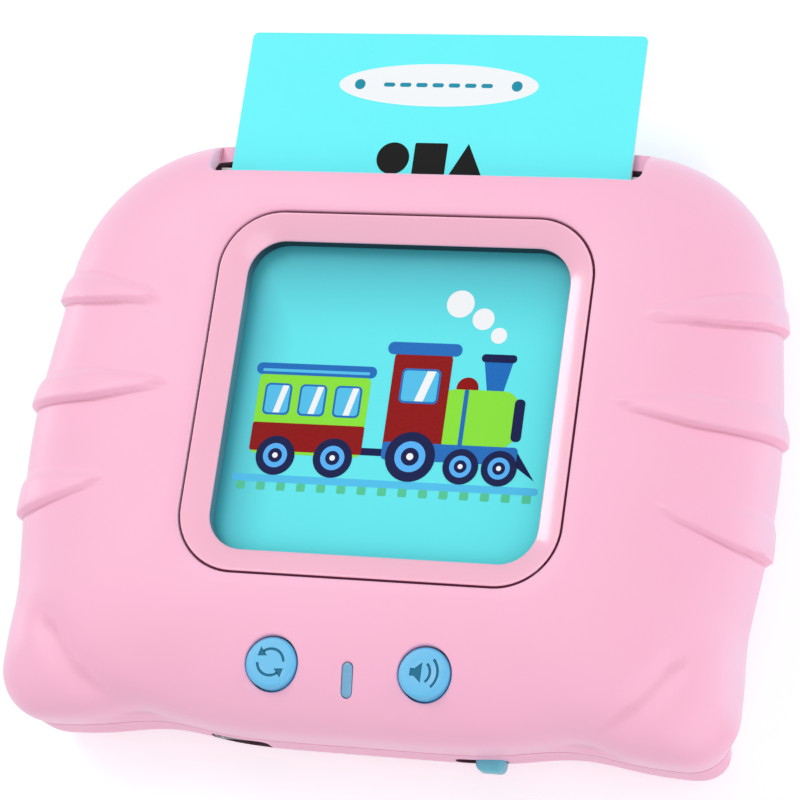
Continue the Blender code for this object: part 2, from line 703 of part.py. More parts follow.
def make_front_shell():
    """Front half of the case."""
    points = body_outline()
    mesh = loft(outer_rings(points) + inner_rings(points), closed=True)
    bmesh.ops.triangulate(mesh, faces=mesh.faces)
    shell = add_object("front_shell", mesh, PINK)

    posts = bmesh.new()
    post_top = FRONT_Z - WALL + POST_SINK
    for place in mirrored_places(CASE_SCREWS):
        prism(circle(CASE_POST_RADIUS, SMALL_ROUND_STEPS, place), CASE_POST_END, post_top, posts)
    for place in mirrored_places(((BOARD_SCREW_X, BOARD_SCREW_Y),)):
        low = BOARD_TOP_Z + SEAT_GAP
        prism(circle(BOARD_POST_RADIUS, SMALL_ROUND_STEPS, place), low, post_top, posts)
    join(shell, posts, "posts")

    holes = slot_cutter()
    low = flange_z()
    for side in (-1, 1):
        opening = circle(BUTTON_RADIUS + SLIDE_GAP, ROUND_STEPS, (side * BUTTON_X, BUTTON_Y))
        prism(opening, low, FRONT_Z + PAST, holes)
    lens = rounded_rectangle(LIGHT_PIPE_HALF_X + SEAT_GAP, LIGHT_PIPE_HALF_Y + SEAT_GAP,
                             LIGHT_PIPE_HALF_X + SEAT_GAP - 0.01 * MM, 4, (0, LIGHT_PIPE_Y))
    prism(lens, low, FRONT_Z + PAST, holes)
    for x, y in mirrored_places(CASE_SCREWS):
        pilot = circle(CASE_SCREW_RADIUS + SEAT_GAP, SMALL_ROUND_STEPS, (x, y))
        prism(pilot, CASE_POST_END - PAST, case_screw_tip_z() + SEAT_GAP, holes)
    for x, y in mirrored_places(((BOARD_SCREW_X, BOARD_SCREW_Y),)):
        pilot = circle(BOARD_SCREW_RADIUS + SEAT_GAP, SMALL_ROUND_STEPS, (x, y))
        tip = UNDER_BOARD_Z + BOARD_SCREW_LENGTH + SEAT_GAP
        prism(pilot, BOARD_TOP_Z - PAST, tip, holes)
    return cut(shell, holes, "openings")


def case_screw_seat_z():
    """Bottom of the screw wells, which the screw heads pull on."""
    return SCREW_WELL_DEPTH


def case_screw_tip_z():
    """Tip of the case screws."""
    return case_screw_seat_z() - SEAT_GAP + CASE_SCREW_LENGTH


# ------------------------------------------------------------- rear shell


def rear_rings(points):
    """Rings of the rear shell, from the back face over the tongue to the floor."""
    rim_z = SEAM_HEIGHT - SEAT_GAP
    steps = [math.pi / 2 * (1 - i / REAR_RINGS) for i in range(REAR_RINGS + 1)]
    rings = []
    for angle in steps:
        inset = REAR_EDGE_RADIUS * (1 - math.cos(angle))
        z = REAR_EDGE_RADIUS * (1 - math.sin(angle))
        rings.append(ring(wall_outline(points, z, inset), z))
    tongue_outside = wall_outline(points, SEAM_HEIGHT, WALL - TONGUE_WALL)
    inside = wall_outline(points, SEAM_HEIGHT, WALL)
    tongue_z = SEAM_HEIGHT + TONGUE_HEIGHT - SEAT_GAP
    rings += [ring(wall_outline(points, rim_z), rim_z), ring(tongue_outside, rim_z),
              ring(tongue_outside, tongue_z), ring(inside, tongue_z)]
    inner_radius = REAR_EDGE_RADIUS - WALL
    for angle in reversed(steps):
        inset = WALL + inner_radius * (1 - math.cos(angle))
        z = WALL + inner_radius * (1 - math.sin(angle))
        rings.append(ring(wall_outline(points, z, inset), z))
    return rings


def grille_places():
    """Holes of the speaker grille, in a hexagonal pattern."""
    places = []
    for row in range(-GRILLE_RINGS, GRILLE_RINGS + 1):
        count = 2 * GRILLE_RINGS + 1 - abs(row)
        for i in range(count):
            x = (i - (count - 1) / 2) * GRILLE_PITCH
            places.append((x, SPEAKER_Y + row * GRILLE_PITCH * math.sqrt(3) / 2))
    return places


def wall_opening(x, half_x, z, half_z, radius):
    """Cutter through the lower wall, drawn on an X-Z outline."""
    outline = rounded_rectangle(half_x, half_z, radius, 3, (x, z))
    low_y = bottom_y(x) - 2 * PAST
    high_y = bottom_y(x) + WALL + PAST
    return [[(px, y, pz) for px, pz in outline] for y in (low_y, high_y)]


def make_rear_shell():
    """Back half of the case."""
    points = body_outline(4, 8, 7, 3, 4, 10)
    shell = add_object("rear_shell", loft(rear_rings(points)), PINK)

    sink = 0.5 * WALL
    standing = bmesh.new()
    well_radius = CASE_SCREW_HEAD_RADIUS + SEAT_GAP + SCREW_WELL_WALL
    for place in mirrored_places(CASE_SCREWS):
        high = CASE_POST_END - SEAT_GAP
        prism(circle(well_radius, SMALL_ROUND_STEPS, place), sink, high, standing)
    for y in PILLAR_YS:
        for side in (1, -1):
            pillar = circle(PILLAR_RADIUS, SMALL_ROUND_STEPS, (side * PILLAR_X, y))
            prism(pillar, sink, TRAY_UNDER_Z - SEAT_GAP, standing)
    inside = SPEAKER_RADIUS + SEAT_GAP
    outside = inside + SPEAKER_FENCE_WALL
    fence_top = FLOOR_Z + SPEAKER_FENCE_HEIGHT
    turned(((inside, sink), (outside, sink), (outside, fence_top), (inside, fence_top)),
           centre=(0, SPEAKER_Y), closed=True, into=standing)
    join(shell, standing, "bosses")

    holes = bmesh.new()
    for place in mirrored_places(CASE_SCREWS):
        seat = case_screw_seat_z()
        head = CASE_SCREW_HEAD_RADIUS + SEAT_GAP
        shank = CASE_SCREW_RADIUS + SEAT_GAP
        turned(((head, -PAST), (head, seat), (shank, seat), (shank, CASE_POST_END + PAST)),
               SMALL_ROUND_STEPS, place, into=holes)
    for place in grille_places():
        prism(circle(GRILLE_HOLE_RADIUS, 10, place), -PAST, FLOOR_Z + PAST, holes)
    loft(wall_opening(USB_X, USB_WIDTH / 2 + SEAT_GAP, USB_Z, USB_HEIGHT / 2 + SEAT_GAP,
                      USB_RADIUS), into=holes)
    slot_x = KNOB_X - KNOB_TRAVEL / 2
    slot_half = (KNOB_WIDTH + KNOB_TRAVEL) / 2 + SLIDE_GAP
    loft(wall_opening(slot_x, slot_half, SWITCH_Z, KNOB_HEIGHT / 2 + SLIDE_GAP,
                      USB_RADIUS), into=holes)
    return cut(shell, holes, "openings")


# ------------------------------------------------- window, card and tray


def make_window_frame():
    """Sloping ring round the window, with a flange behind the front shell."""
    outer_x = WINDOW_HALF_X + BEZEL_WIDTH
    outer_y = WINDOW_HALF_Y + BEZEL_WIDTH
    reach = SEAT_GAP + BEZEL_FLANGE_WIDTH
    profile = (
        (outer_x, outer_y, BEZEL_RADIUS, FRONT_Z),
        (WINDOW_HALF_X, WINDOW_HALF_Y, WINDOW_RADIUS, FRONT_Z - BEZEL_DROP),
        (WINDOW_HALF_X, WINDOW_HALF_Y, WINDOW_RADIUS, FRAME_BOTTOM_Z),
        (WINDOW_HALF_X + BEZEL_WALL, WINDOW_HALF_Y + BEZEL_WALL, WINDOW_RADIUS + BEZEL_WALL,
         FRAME_BOTTOM_Z),
        (WINDOW_HALF_X + BEZEL_WALL, WINDOW_HALF_Y + BEZEL_WALL, WINDOW_RADIUS + BEZEL_WALL,
         FLANGE_UNDER_Z),
        (outer_x + reach, outer_y + reach, BEZEL_RADIUS + reach, FLANGE_UNDER_Z),
        (outer_x + reach, outer_y + reach, BEZEL_RADIUS + reach, FLANGE_TOP_Z),
        (outer_x, outer_y, BEZEL_RADIUS, FLANGE_TOP_Z),
    )
    rings = [ring(rounded_rectangle(x, y, radius, 7), z) for x, y, radius, z in profile]
    return add_object("window_frame", loft(rings, closed=True), PINK_FRAME)


def make_flash_card():
    """Picture card, sliding out of the top along +Y."""
    slide = add_empty("card_slide_axis", (0, CARD_BOTTOM_Y, CARD_BACK_Z))
    points = rounded_rectangle(CARD_WIDTH / 2, CARD_HEIGHT / 2, CARD_RADIUS, 3,
                               (0, CARD_HEIGHT / 2))
    return add_object("flash_card", prism(points, 0, CARD_THICKNESS), CARD, parent=slide)


def sensor_places():
    """Middles of the card sensors."""
    return [((i - (SENSOR_COUNT - 1) / 2) * SENSOR_PITCH, READER_Y) for i in range(SENSOR_COUNT)]


def make_card_tray():
    """Bed that the card slides on, with rails, a stop, a bridge and two stakes."""
    inner_x = CARD_WIDTH / 2 + SLIDE_GAP
    outer_x = inner_x + TRAY_RAIL_WIDTH
    stop_y = CARD_BOTTOM_Y - SLIDE_GAP
    low_y = stop_y - TRAY_STOP_WIDTH
    high_y = BODY_TOP - WALL - TRAY_TOP_CLEARANCE
    rail_top = FLANGE_UNDER_Z - SEAT_GAP
    tray = add_object("card_tray", block((-outer_x, low_y, TRAY_UNDER_Z),
                                         (outer_x, high_y, rail_top)), CREAM)
    bridge_y = SLOT_LIP_Y - SEAT_GAP
    bridge_low_y = bridge_y - TRAY_BRIDGE_DEPTH
    bridge_under = CARD_FACE_Z + SLIDE_GAP
    bridge_top = bridge_under + TRAY_BRIDGE_THICKNESS
    channel = block((-inner_x, stop_y, TRAY_TOP_Z), (inner_x, bridge_low_y, FRONT_Z))
    block((-outer_x - PAST, bridge_y, TRAY_TOP_Z), (outer_x + PAST, high_y + PAST, FRONT_Z), channel)
    cut(tray, channel, "channel")
    under = block((-inner_x, bridge_low_y - PAST, TRAY_TOP_Z),
                  (inner_x, bridge_y + PAST, bridge_under))
    block((-outer_x - PAST, bridge_low_y - 2 * PAST, bridge_top),
          (outer_x + PAST, high_y + PAST, FRONT_Z), under)
    cut(tray, under, "bridge_space")
    windows = bmesh.new()
    half = SENSOR_SIZE / 2 + SEAT_GAP
    for x, y in sensor_places():
        block((x - half, y - half, TRAY_UNDER_Z - PAST), (x + half, y + half, TRAY_TOP_Z + PAST / 4),
              windows)
    cut(tray, windows, "sensor_windows")
    stakes = bmesh.new()
    for side in (-1, 1):
        prism(circle(STAKE_RADIUS, SMALL_ROUND_STEPS, (side * STAKE_X, READER_Y)),
              TRAY_UNDER_Z - STAKE_LENGTH, TRAY_UNDER_Z + TRAY_FLOOR / 2, stakes)
    return join(tray, stakes, "stakes")


def make_reader():
    """Reader board, its sensors and the ribbon down to the main board."""
    board = add_object(
        "reader_board",
        block((-READER_HALF_X, READER_Y - READER_HALF_Y, READER_UNDER_Z),
              (READER_HALF_X, READER_Y + READER_HALF_Y, READER_TOP_Z)), BOARD_GREEN)
    holes = bmesh.new()
    for side in (-1, 1):
        prism(circle(STAKE_RADIUS + SEAT_GAP, SMALL_ROUND_STEPS, (side * STAKE_X, READER_Y)),
              READER_UNDER_Z - PAST, READER_TOP_Z + PAST / 4, holes)
    cut(board, holes, "stake_holes")
    half = SENSOR_SIZE / 2
    for number, (x, y) in enumerate(sensor_places(), 1):
        low = READER_TOP_Z + SEAT_GAP
        add_object(f"card_sensor_{number}",
                   block((x - half, y - half, low), (x + half, y + half, low + SENSOR_HEIGHT)), BLACK)
    start_y = READER_Y - READER_HALF_Y / 2
    start_z = READER_UNDER_Z - SEAT_GAP - RIBBON_THICKNESS / 2
    end_z = ON_BOARD_Z + RIBBON_THICKNESS / 2
    end_y = BOARD_HIGH_Y - RIBBON_OVERLAP
    rings = []
    steps = 10
    for i in range(steps + 1):
        share = i / steps
        y = start_y + (end_y - start_y) * share
        z = start_z + (end_z - start_z) * smooth((share - 0.1) / 0.8)
        rings.append([(side * RIBBON_HALF_WIDTH, y, z + rise * RIBBON_THICKNESS / 2)
                      for side, rise in ((-1, -1), (1, -1), (1, 1), (-1, 1))])
    add_object("reader_ribbon", loft(rings), CREAM)


# ------------------------------------------------------ buttons and lens


def make_button(side, name):
    """Button cap and the plunger it presses; both slide down together."""
    place = (side * BUTTON_X, BUTTON_Y)
    slide = add_empty(f"{name}_press_axis", (*place, FRONT_Z))
    cap_top = face_z(*place) + BUTTON_PROUD - FRONT_Z
    flange_top = flange_z() - FRONT_Z
    flange_under = flange_top - BUTTON_FLANGE_THICKNESS
    plunger_top = PUSH_SWITCH_TOP_Z + PLUNGER_PROUD - FRONT_Z
    flange_radius = BUTTON_RADIUS + BUTTON_FLANGE_WIDTH
    profile = (
        (BUTTON_STEM_RADIUS, plunger_top + SEAT_GAP), (BUTTON_STEM_RADIUS, flange_under),
        (flange_radius, flange_under), (flange_radius, flange_top),
        (BUTTON_RADIUS, flange_top), (BUTTON_RADIUS, cap_top - BUTTON_EDGE),
        (BUTTON_RADIUS - 0.3 * BUTTON_EDGE, cap_top - 0.3 * BUTTON_EDGE),
        (BUTTON_RADIUS - BUTTON_EDGE, cap_top),
    )
    add_object(f"{name}_button", turned(profile), SKY_BLUE, parent=slide)
    low = PUSH_SWITCH_TOP_Z - PLUNGER_HIDDEN - FRONT_Z
    plunger = turned(((PLUNGER_RADIUS, low), (PLUNGER_RADIUS, plunger_top)), SMALL_ROUND_STEPS)
    add_object(f"{name}_switch_plunger", plunger, BLACK, parent=slide)


def make_push_switch(side, name):
    """Housing of a push switch on the main board, bored for its plunger."""
    x = side * BUTTON_X
    half = PUSH_SWITCH_SIZE / 2
    body = add_object(f"{name}_switch_body",
                      block((x - half, BUTTON_Y - half, ON_BOARD_Z),
                            (x + half, BUTTON_Y + half, PUSH_SWITCH_TOP_Z)), STEEL)
    floor = PUSH_SWITCH_TOP_Z - PLUNGER_HIDDEN - BUTTON_TRAVEL - SLIDE_GAP
    bore = prism(circle(PLUNGER_RADIUS + SLIDE_GAP, SMALL_ROUND_STEPS, (x, BUTTON_Y)),
                 floor, PUSH_SWITCH_TOP_Z + PAST)
    return cut(body, bore, "bore")


def make_indicator():
    """Light pipe in the front shell and the lamp under it."""
    led_top = ON_BOARD_Z + LED_HEIGHT
    add_object("status_led", block((-LED_HALF_X, LIGHT_PIPE_Y - LED_HALF_Y, ON_BOARD_Z),
                                   (LED_HALF_X, LIGHT_PIPE_Y + LED_HALF_Y, led_top)), CREAM)
    flange_top = flange_z()
    flange_under = flange_top - BUTTON_FLANGE_THICKNESS
    radius = LIGHT_PIPE_HALF_X - 0.01 * MM
    stem = rounded_rectangle(LIGHT_PIPE_HALF_X, LIGHT_PIPE_HALF_Y, radius, 4, (0, LIGHT_PIPE_Y))
    flange = rounded_rectangle(LIGHT_PIPE_HALF_X + LIGHT_PIPE_FLANGE_WIDTH,
                               LIGHT_PIPE_HALF_Y + LIGHT_PIPE_FLANGE_WIDTH,
                               radius + LIGHT_PIPE_FLANGE_WIDTH, 4, (0, LIGHT_PIPE_Y))
    top = [(x, y, face_z(x, y) - LIGHT_PIPE_INSET) for x, y in stem]
    rings = [ring(stem, led_top + SEAT_GAP), ring(stem, flange_under), ring(flange, flange_under),
             ring(flange, flange_top), ring(stem, flange_top), top]
    return add_object("indicator_light_pipe", loft(rings), SKY_BLUE)


# ------------------------------------------------------------- main board


def make_main_board():
    """Main board with what is soldered to it."""
    middle_y = (BOARD_LOW_Y + BOARD_HIGH_Y) / 2
    half_y = (BOARD_HIGH_Y - BOARD_LOW_Y) / 2
    points = rounded_rectangle(BOARD_HALF_X, half_y, BOARD_RADIUS, 3, (0, middle_y))
    board = add_object("main_board", prism(points, BOARD_UNDER_Z, BOARD_TOP_Z), BOARD_GREEN)
    holes = bmesh.new()
    for place in mirrored_places(((BOARD_SCREW_X, BOARD_SCREW_Y),)):
        prism(circle(BOARD_SCREW_RADIUS + SEAT_GAP, SMALL_ROUND_STEPS, place),
              BOARD_UNDER_Z - PAST, BOARD_TOP_Z + PAST, holes)
    cut(board, holes, "screw_holes")

    top = UNDER_BOARD_Z
    dome = [(CHIP_RADIUS * math.cos(a), top - CHIP_HEIGHT * math.sin(a))
            for a in (0.0, 0.5, 1.0, 1.35)]
    add_object("sound_chip", turned(dome, 16, (CHIP_X, CHIP_Y)), BLACK)
    add_object("memory_chip",
               block((MEMORY_X - MEMORY_HALF_X, MEMORY_Y - MEMORY_HALF_Y, top - MEMORY_HEIGHT),
                     (MEMORY_X + MEMORY_HALF_X, MEMORY_Y + MEMORY_HALF_Y, top)), BLACK)
    can = ((CAPACITOR_RADIUS, top), (CAPACITOR_RADIUS, top - CAPACITOR_HEIGHT + CAPACITOR_EDGE),
           (CAPACITOR_RADIUS - CAPACITOR_EDGE, top - CAPACITOR_HEIGHT))
    add_object("filter_capacitor", turned(can, 16, (CAPACITOR_X, CAPACITOR_Y)), STEEL)


def make_usb_socket():
    """Charging socket: a metal mouth round a contact tongue."""
    mouth_y = bottom_y(USB_X) + USB_RECESS
    outline = rounded_rectangle(USB_WIDTH / 2, USB_HEIGHT / 2, USB_RADIUS, 3, (USB_X, USB_Z))
    body = add_object("usb_socket",
                      loft([[(x, y, z) for x, z in outline]
                            for y in (mouth_y, mouth_y + USB_LENGTH)]), STEEL)
    inner = rounded_rectangle(USB_WIDTH / 2 - USB_SHELL, USB_HEIGHT / 2 - USB_SHELL,
                              USB_RADIUS - USB_SHELL, 3, (USB_X, USB_Z))
    deep_y = mouth_y + USB_LENGTH - 2 * USB_SHELL
    cut(body, loft([[(x, y, z) for x, z in inner] for y in (mouth_y - PAST, deep_y)]), "mouth")
    half_x = USB_WIDTH / 2 - 3 * USB_SHELL
    tongue = block((USB_X - half_x, mouth_y + USB_SHELL, USB_Z - USB_TONGUE_HEIGHT / 2),
                   (USB_X + half_x, deep_y + USB_SHELL, USB_Z + USB_TONGUE_HEIGHT / 2))
    return join(body, tongue, "tongue")


# ----------------------------------------------------------- power switch


def make_power_switch():
    """Knob in the lower wall, the actuator it moves and the switch housing."""
    slide = add_empty("power_slide_axis", (KNOB_X, 0, SWITCH_Z))
    outside_y = bottom_y(KNOB_X) - KNOB_PROUD
    flange_half = KNOB_WIDTH / 2 + KNOB_FLANGE_WIDTH
    flange_ends = (KNOB_X - flange_half - KNOB_TRAVEL, KNOB_X + flange_half)
    inside_y = max(bottom_y(x) for x in flange_ends) + WALL + KNOB_FLANGE_GAP
    flange_y = inside_y + KNOB_FLANGE_THICKNESS
    half_x = KNOB_WIDTH / 2
    half_z = KNOB_HEIGHT / 2
    levels = (
        (outside_y, half_x - KNOB_EDGE, half_z - KNOB_EDGE),
        (outside_y + KNOB_EDGE, half_x, half_z),
        (inside_y, half_x, half_z),
        (inside_y, half_x + KNOB_FLANGE_WIDTH, half_z + KNOB_FLANGE_HEIGHT),
        (flange_y, half_x + KNOB_FLANGE_WIDTH, half_z + KNOB_FLANGE_HEIGHT),
    )
    rings = []
    for y, wide, high in levels:
        rings.append([(x, y, z) for x, z in rounded_rectangle(wide, high, KNOB_RADIUS, 3)])
    add_object("power_knob", loft(rings), TEAL, parent=slide)

    half = ACTUATOR_SIZE / 2
    body_y = flange_y + SEAT_GAP + SWITCH_SETBACK
    add_object("power_switch_actuator",
               block((-half, flange_y + SEAT_GAP, -half), (half, body_y + ACTUATOR_HIDDEN, half)),
               BLACK, parent=slide)

    middle_x = KNOB_X - KNOB_TRAVEL / 2
    half_length = SWITCH_BODY_LENGTH / 2
    body = add_object("power_switch_body",
                      block((middle_x - half_length, body_y, UNDER_BOARD_Z - SWITCH_BODY_HEIGHT),
                            (middle_x + half_length, body_y + SWITCH_BODY_WIDTH, UNDER_BOARD_Z)),
                      STEEL)
    reach = KNOB_TRAVEL / 2 + half + SLIDE_GAP
    high = half + SLIDE_GAP
    track = block((middle_x - reach, body_y - PAST, SWITCH_Z - high),
                  (middle_x + reach, body_y + ACTUATOR_HIDDEN + SLIDE_GAP, SWITCH_Z + high))
    return cut(body, track, "track")


# -------------------------------------------------------- speaker, power


def make_speaker():
    """Loudspeaker facing the grille: basket, paper cone and magnet."""
    base = FLOOR_Z + SEAT_GAP
    centre = (0, SPEAKER_Y)
    rim = SPEAKER_RADIUS - SPEAKER_RIM
    bowl = CONE_RADIUS + SEAT_GAP
    hole = SPEAKER_POLE_RADIUS + SEAT_GAP
    inner_top = base + SPEAKER_HEIGHT - SPEAKER_METAL
    profile = (
        (bowl, base), (SPEAKER_RADIUS, base), (SPEAKER_RADIUS, base + SPEAKER_FLANGE),
        (rim, base + SPEAKER_FLANGE), (SPEAKER_BACK_RADIUS, base + SPEAKER_HEIGHT),
        (hole, base + SPEAKER_HEIGHT), (hole, inner_top),
        (SPEAKER_BACK_RADIUS - SPEAKER_METAL / 2, inner_top), (bowl, base + SPEAKER_FLANGE),
    )
    add_object("speaker_basket", turned(profile, HIDDEN_ROUND_STEPS, centre, closed=True), STEEL)
    low = base + CONE_LIFT
    neck = SPEAKER_POLE_RADIUS
    cone = ((CONE_RADIUS, low), (neck, low + CONE_DEPTH), (neck / 2, low + 0.8 * CONE_DEPTH),
            (neck / 8, low + 0.7 * CONE_DEPTH), (neck / 8, low + 0.7 * CONE_DEPTH + CONE_PAPER),
            (neck / 2, low + 0.8 * CONE_DEPTH + CONE_PAPER), (neck, low + CONE_DEPTH + CONE_PAPER),
            (CONE_RADIUS, low + CONE_PAPER))
    add_object("speaker_cone", turned(cone[3::-1] + cone[:3:-1], HIDDEN_ROUND_STEPS, centre), BLACK)
    seat = base + SPEAKER_HEIGHT + SEAT_GAP
    top = seat + MAGNET_HEIGHT
    magnet = ((SPEAKER_POLE_RADIUS, inner_top), (SPEAKER_POLE_RADIUS, seat), (MAGNET_RADIUS, seat),
              (MAGNET_RADIUS, top - MAGNET_EDGE), (MAGNET_RADIUS - MAGNET_EDGE, top))
    add_object("speaker_magnet", turned(magnet, HIDDEN_ROUND_STEPS, centre), STEEL)


def make_battery():
    """Flat cell on a foam pad stuck to the floor."""
    pad_low = FLOOR_Z + SEAT_GAP
    pad_high = pad_low + PAD_THICKNESS
    wide = BATTERY_HALF_X - PAD_MARGIN
    deep = BATTERY_HALF_Y - PAD_MARGIN
    add_object("battery_pad", block((BATTERY_X - wide, BATTERY_Y - deep, pad_low),
                                    (BATTERY_X + wide, BATTERY_Y + deep, pad_high)), CREAM)
    low = pad_high + SEAT_GAP
    cell = add_object("battery_cell",
                      block((BATTERY_X - BATTERY_HALF_X, BATTERY_Y - BATTERY_HALF_Y, low),
                            (BATTERY_X + BATTERY_HALF_X, BATTERY_Y + BATTERY_HALF_Y,
                             low + BATTERY_THICKNESS)), STEEL)
    return bevelled(cell, BATTERY_EDGE, 2)


# ----------------------------------------------------------- small pieces


def add_screw(name, place, seat, tip, radius, head_radius, head_height, point):
    """Screw with a crowned head under its seat and a pointed tip above it."""
    crown_z = seat - head_height
    profile = (
        (head_radius - SCREW_CROWN_WIDTH, crown_z), (head_radius, crown_z + SCREW_CROWN_HEIGHT),
        (head_radius, seat), (radius, seat), (radius, tip - point), (SCREW_POINT_SHARE * radius, tip),
    )
    add_object(name, turned(profile, SMALL_ROUND_STEPS, place), STEEL)


def make_case_screws():
    """Screws that draw the rear shell to the posts of the front shell."""
    seat = case_screw_seat_z() - SEAT_GAP
    for number, place in enumerate(mirrored_places(CASE_SCREWS), 1):
        add_screw(f"case_screw_{number}", place, seat, case_screw_tip_z(), CASE_SCREW_RADIUS,
                  CASE_SCREW_HEAD_RADIUS, CASE_SCREW_HEAD_HEIGHT, CASE_SCREW_POINT)


def make_board_screws():
    """Screws that hold the main board to two posts of the front shell."""
    seat = UNDER_BOARD_Z
    for number, place in enumerate(mirrored_places(((BOARD_SCREW_X, BOARD_SCREW_Y),)), 1):
        add_screw(f"board_screw_{number}", place, seat, seat + BOARD_SCREW_LENGTH, BOARD_SCREW_RADIUS,
                  BOARD_SCREW_HEAD_RADIUS, BOARD_SCREW_HEAD_HEIGHT, BOARD_SCREW_POINT)


def smooth_route(points, pieces=2):
    """Points along a smooth curve through a lead's own points."""
    ends = [2 * points[0] - points[1]] + points + [2 * points[-1] - points[-2]]
    route = []
    for a, b, c, d in zip(ends, ends[1:], ends[2:], ends[3:]):
        for i in range(pieces):
            t = i / pieces
            route.append(0.5 * (2 * b + (c - a) * t + (2 * a - 5 * b + 4 * c - d) * t * t
                                + (3 * b - a - 3 * c + d) * t * t * t))
    return route + [points[-1]]


def add_lead(name, points, colour):
    """Round lead along a smooth route."""
    route = smooth_route([Vector(point) for point in points])
    curve = bpy.data.curves.new(name, "CURVE")
    curve.dimensions = "3D"
    curve.bevel_depth = LEAD_RADIUS
    curve.bevel_resolution = 1
    curve.use_fill_caps = True
    spline = curve.splines.new("POLY")
    spline.points.add(len(route) - 1)
    for point, place in zip(spline.points, route):
        point.co = (*place, 1.0)
    lead = bpy.data.objects.new(name, curve)
    bpy.context.scene.collection.objects.link(lead)
    curve.materials.append(material(name, colour, 0.45))
    return lead


def make_battery_leads():
    """Leads from the cell's end up to the main board."""
    battery_edge = BATTERY_Y - BATTERY_HALF_Y
    low = FLOOR_Z + SEAT_GAP + PAD_THICKNESS + SEAT_GAP
    middle = low + BATTERY_THICKNESS / 2
    sag = middle - BATTERY_LEAD_SAG
    turn_y = battery_edge - BATTERY_LEAD_RUN
    for side, colour_name, colour in ((1, "red", (0.6, 0.02, 0.02)), (-1, "black", (0.01,) * 3)):
        x = side * BATTERY_LEAD_X
        add_lead(f"battery_lead_{colour_name}",
                 ((x, battery_edge - SEAT_GAP, middle), (x, battery_edge - 0.4 * BATTERY_LEAD_RUN, sag),
                  (x, battery_edge - 0.75 * BATTERY_LEAD_RUN, sag), (x, turn_y, middle),
                  (x, turn_y - LEAD_RADIUS / 3, UNDER_BOARD_Z)), colour)


def make_speaker_leads():
    """Leads from the basket over its fence, along the cell's sides and up to the main board."""
    floor = FLOOR_Z + SEAT_GAP + LEAD_RADIUS
    fence_top = FLOOR_Z + SPEAKER_FENCE_HEIGHT + SEAT_GAP + LEAD_RADIUS
    flange_top = FLOOR_Z + SEAT_GAP + SPEAKER_FLANGE + SEAT_GAP + LEAD_RADIUS
    fence_outside = SPEAKER_RADIUS + SEAT_GAP + SPEAKER_FENCE_WALL
    from_speaker = (
        (SPEAKER_RADIUS - SPEAKER_LEAD_INSET, flange_top),
        (SPEAKER_RADIUS + LEAD_RADIUS, fence_top),
        (fence_outside + SPEAKER_LEAD_CLEARANCE, fence_top + SPEAKER_LEAD_ARCH),
        (SPEAKER_RADIUS + SPEAKER_LEAD_RUN, floor + SPEAKER_LEAD_FALL),
    )
    lane = BATTERY_HALF_X + LANE_GAP
    battery_edge = BATTERY_Y - BATTERY_HALF_Y
    for side, name in ((1, "right"), (-1, "left")):
        route = [(side * reach * math.cos(SPEAKER_LEAD_ANGLE),
                  SPEAKER_Y - reach * math.sin(SPEAKER_LEAD_ANGLE), z) for reach, z in from_speaker]
        route += [(side * lane, BATTERY_Y + 0.6 * BATTERY_HALF_Y, floor), (side * lane, BATTERY_Y, floor),
                  (side * lane, BATTERY_Y - 0.8 * BATTERY_HALF_Y, floor + LANE_LIFT),
                  (side * (lane - LANE_TURN), battery_edge - LANE_GAP, floor + LANE_RISE),
                  (side * (lane - LEAD_ON_BOARD), BOARD_HIGH_Y - LEAD_ON_BOARD, UNDER_BOARD_Z)]
        add_lead(f"speaker_lead_{name}", route, (0.55, 0.55, 0.5))


def main():
    """Build the tablet piece by piece."""
    clear_scene()
    make_front_shell()
    make_rear_shell()
    make_window_frame()
    make_flash_card()
    make_card_tray()
    make_reader()
    for side, name in ((-1, "repeat"), (1, "volume")):
        make_button(side, name)
        make_push_switch(side, name)
    make_indicator()
    make_main_board()
    make_usb_socket()
    make_power_switch()
    make_speaker()
    make_battery()
    make_case_screws()
    make_board_screws()
    make_battery_leads()
    make_speaker_leads()


main()
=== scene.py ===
"""Looks of a card-reading learning tablet for small children.

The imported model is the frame. Each sub-assembly is a class that builds its own meshes in the
frame's metres, dresses them with procedural finishes and lets them ride on the frame's bodies.
"""

from __future__ import annotations

import logging
import math
from dataclasses import dataclass, field
from enum import Enum
from typing import Iterable, Mapping, Sequence

import bmesh
import bpy
from mathutils import Matrix, Vector
from mathutils.bvhtree import BVHTree

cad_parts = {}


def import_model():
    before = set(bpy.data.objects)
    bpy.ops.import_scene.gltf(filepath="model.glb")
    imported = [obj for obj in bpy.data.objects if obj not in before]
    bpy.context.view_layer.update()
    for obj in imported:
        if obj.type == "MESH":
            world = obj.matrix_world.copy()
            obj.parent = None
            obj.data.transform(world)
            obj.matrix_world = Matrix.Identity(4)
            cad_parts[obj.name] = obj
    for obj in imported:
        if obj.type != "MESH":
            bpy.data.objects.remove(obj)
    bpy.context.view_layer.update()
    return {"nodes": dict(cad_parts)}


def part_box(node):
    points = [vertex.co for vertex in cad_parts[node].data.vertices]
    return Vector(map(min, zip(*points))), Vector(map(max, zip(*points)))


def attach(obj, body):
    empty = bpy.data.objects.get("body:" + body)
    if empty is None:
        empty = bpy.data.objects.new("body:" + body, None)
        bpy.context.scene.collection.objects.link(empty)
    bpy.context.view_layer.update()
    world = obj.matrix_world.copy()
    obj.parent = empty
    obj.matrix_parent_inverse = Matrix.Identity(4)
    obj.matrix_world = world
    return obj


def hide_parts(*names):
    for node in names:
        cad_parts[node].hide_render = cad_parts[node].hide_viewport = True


LOG = logging.getLogger("tablet")
MM = 0.001

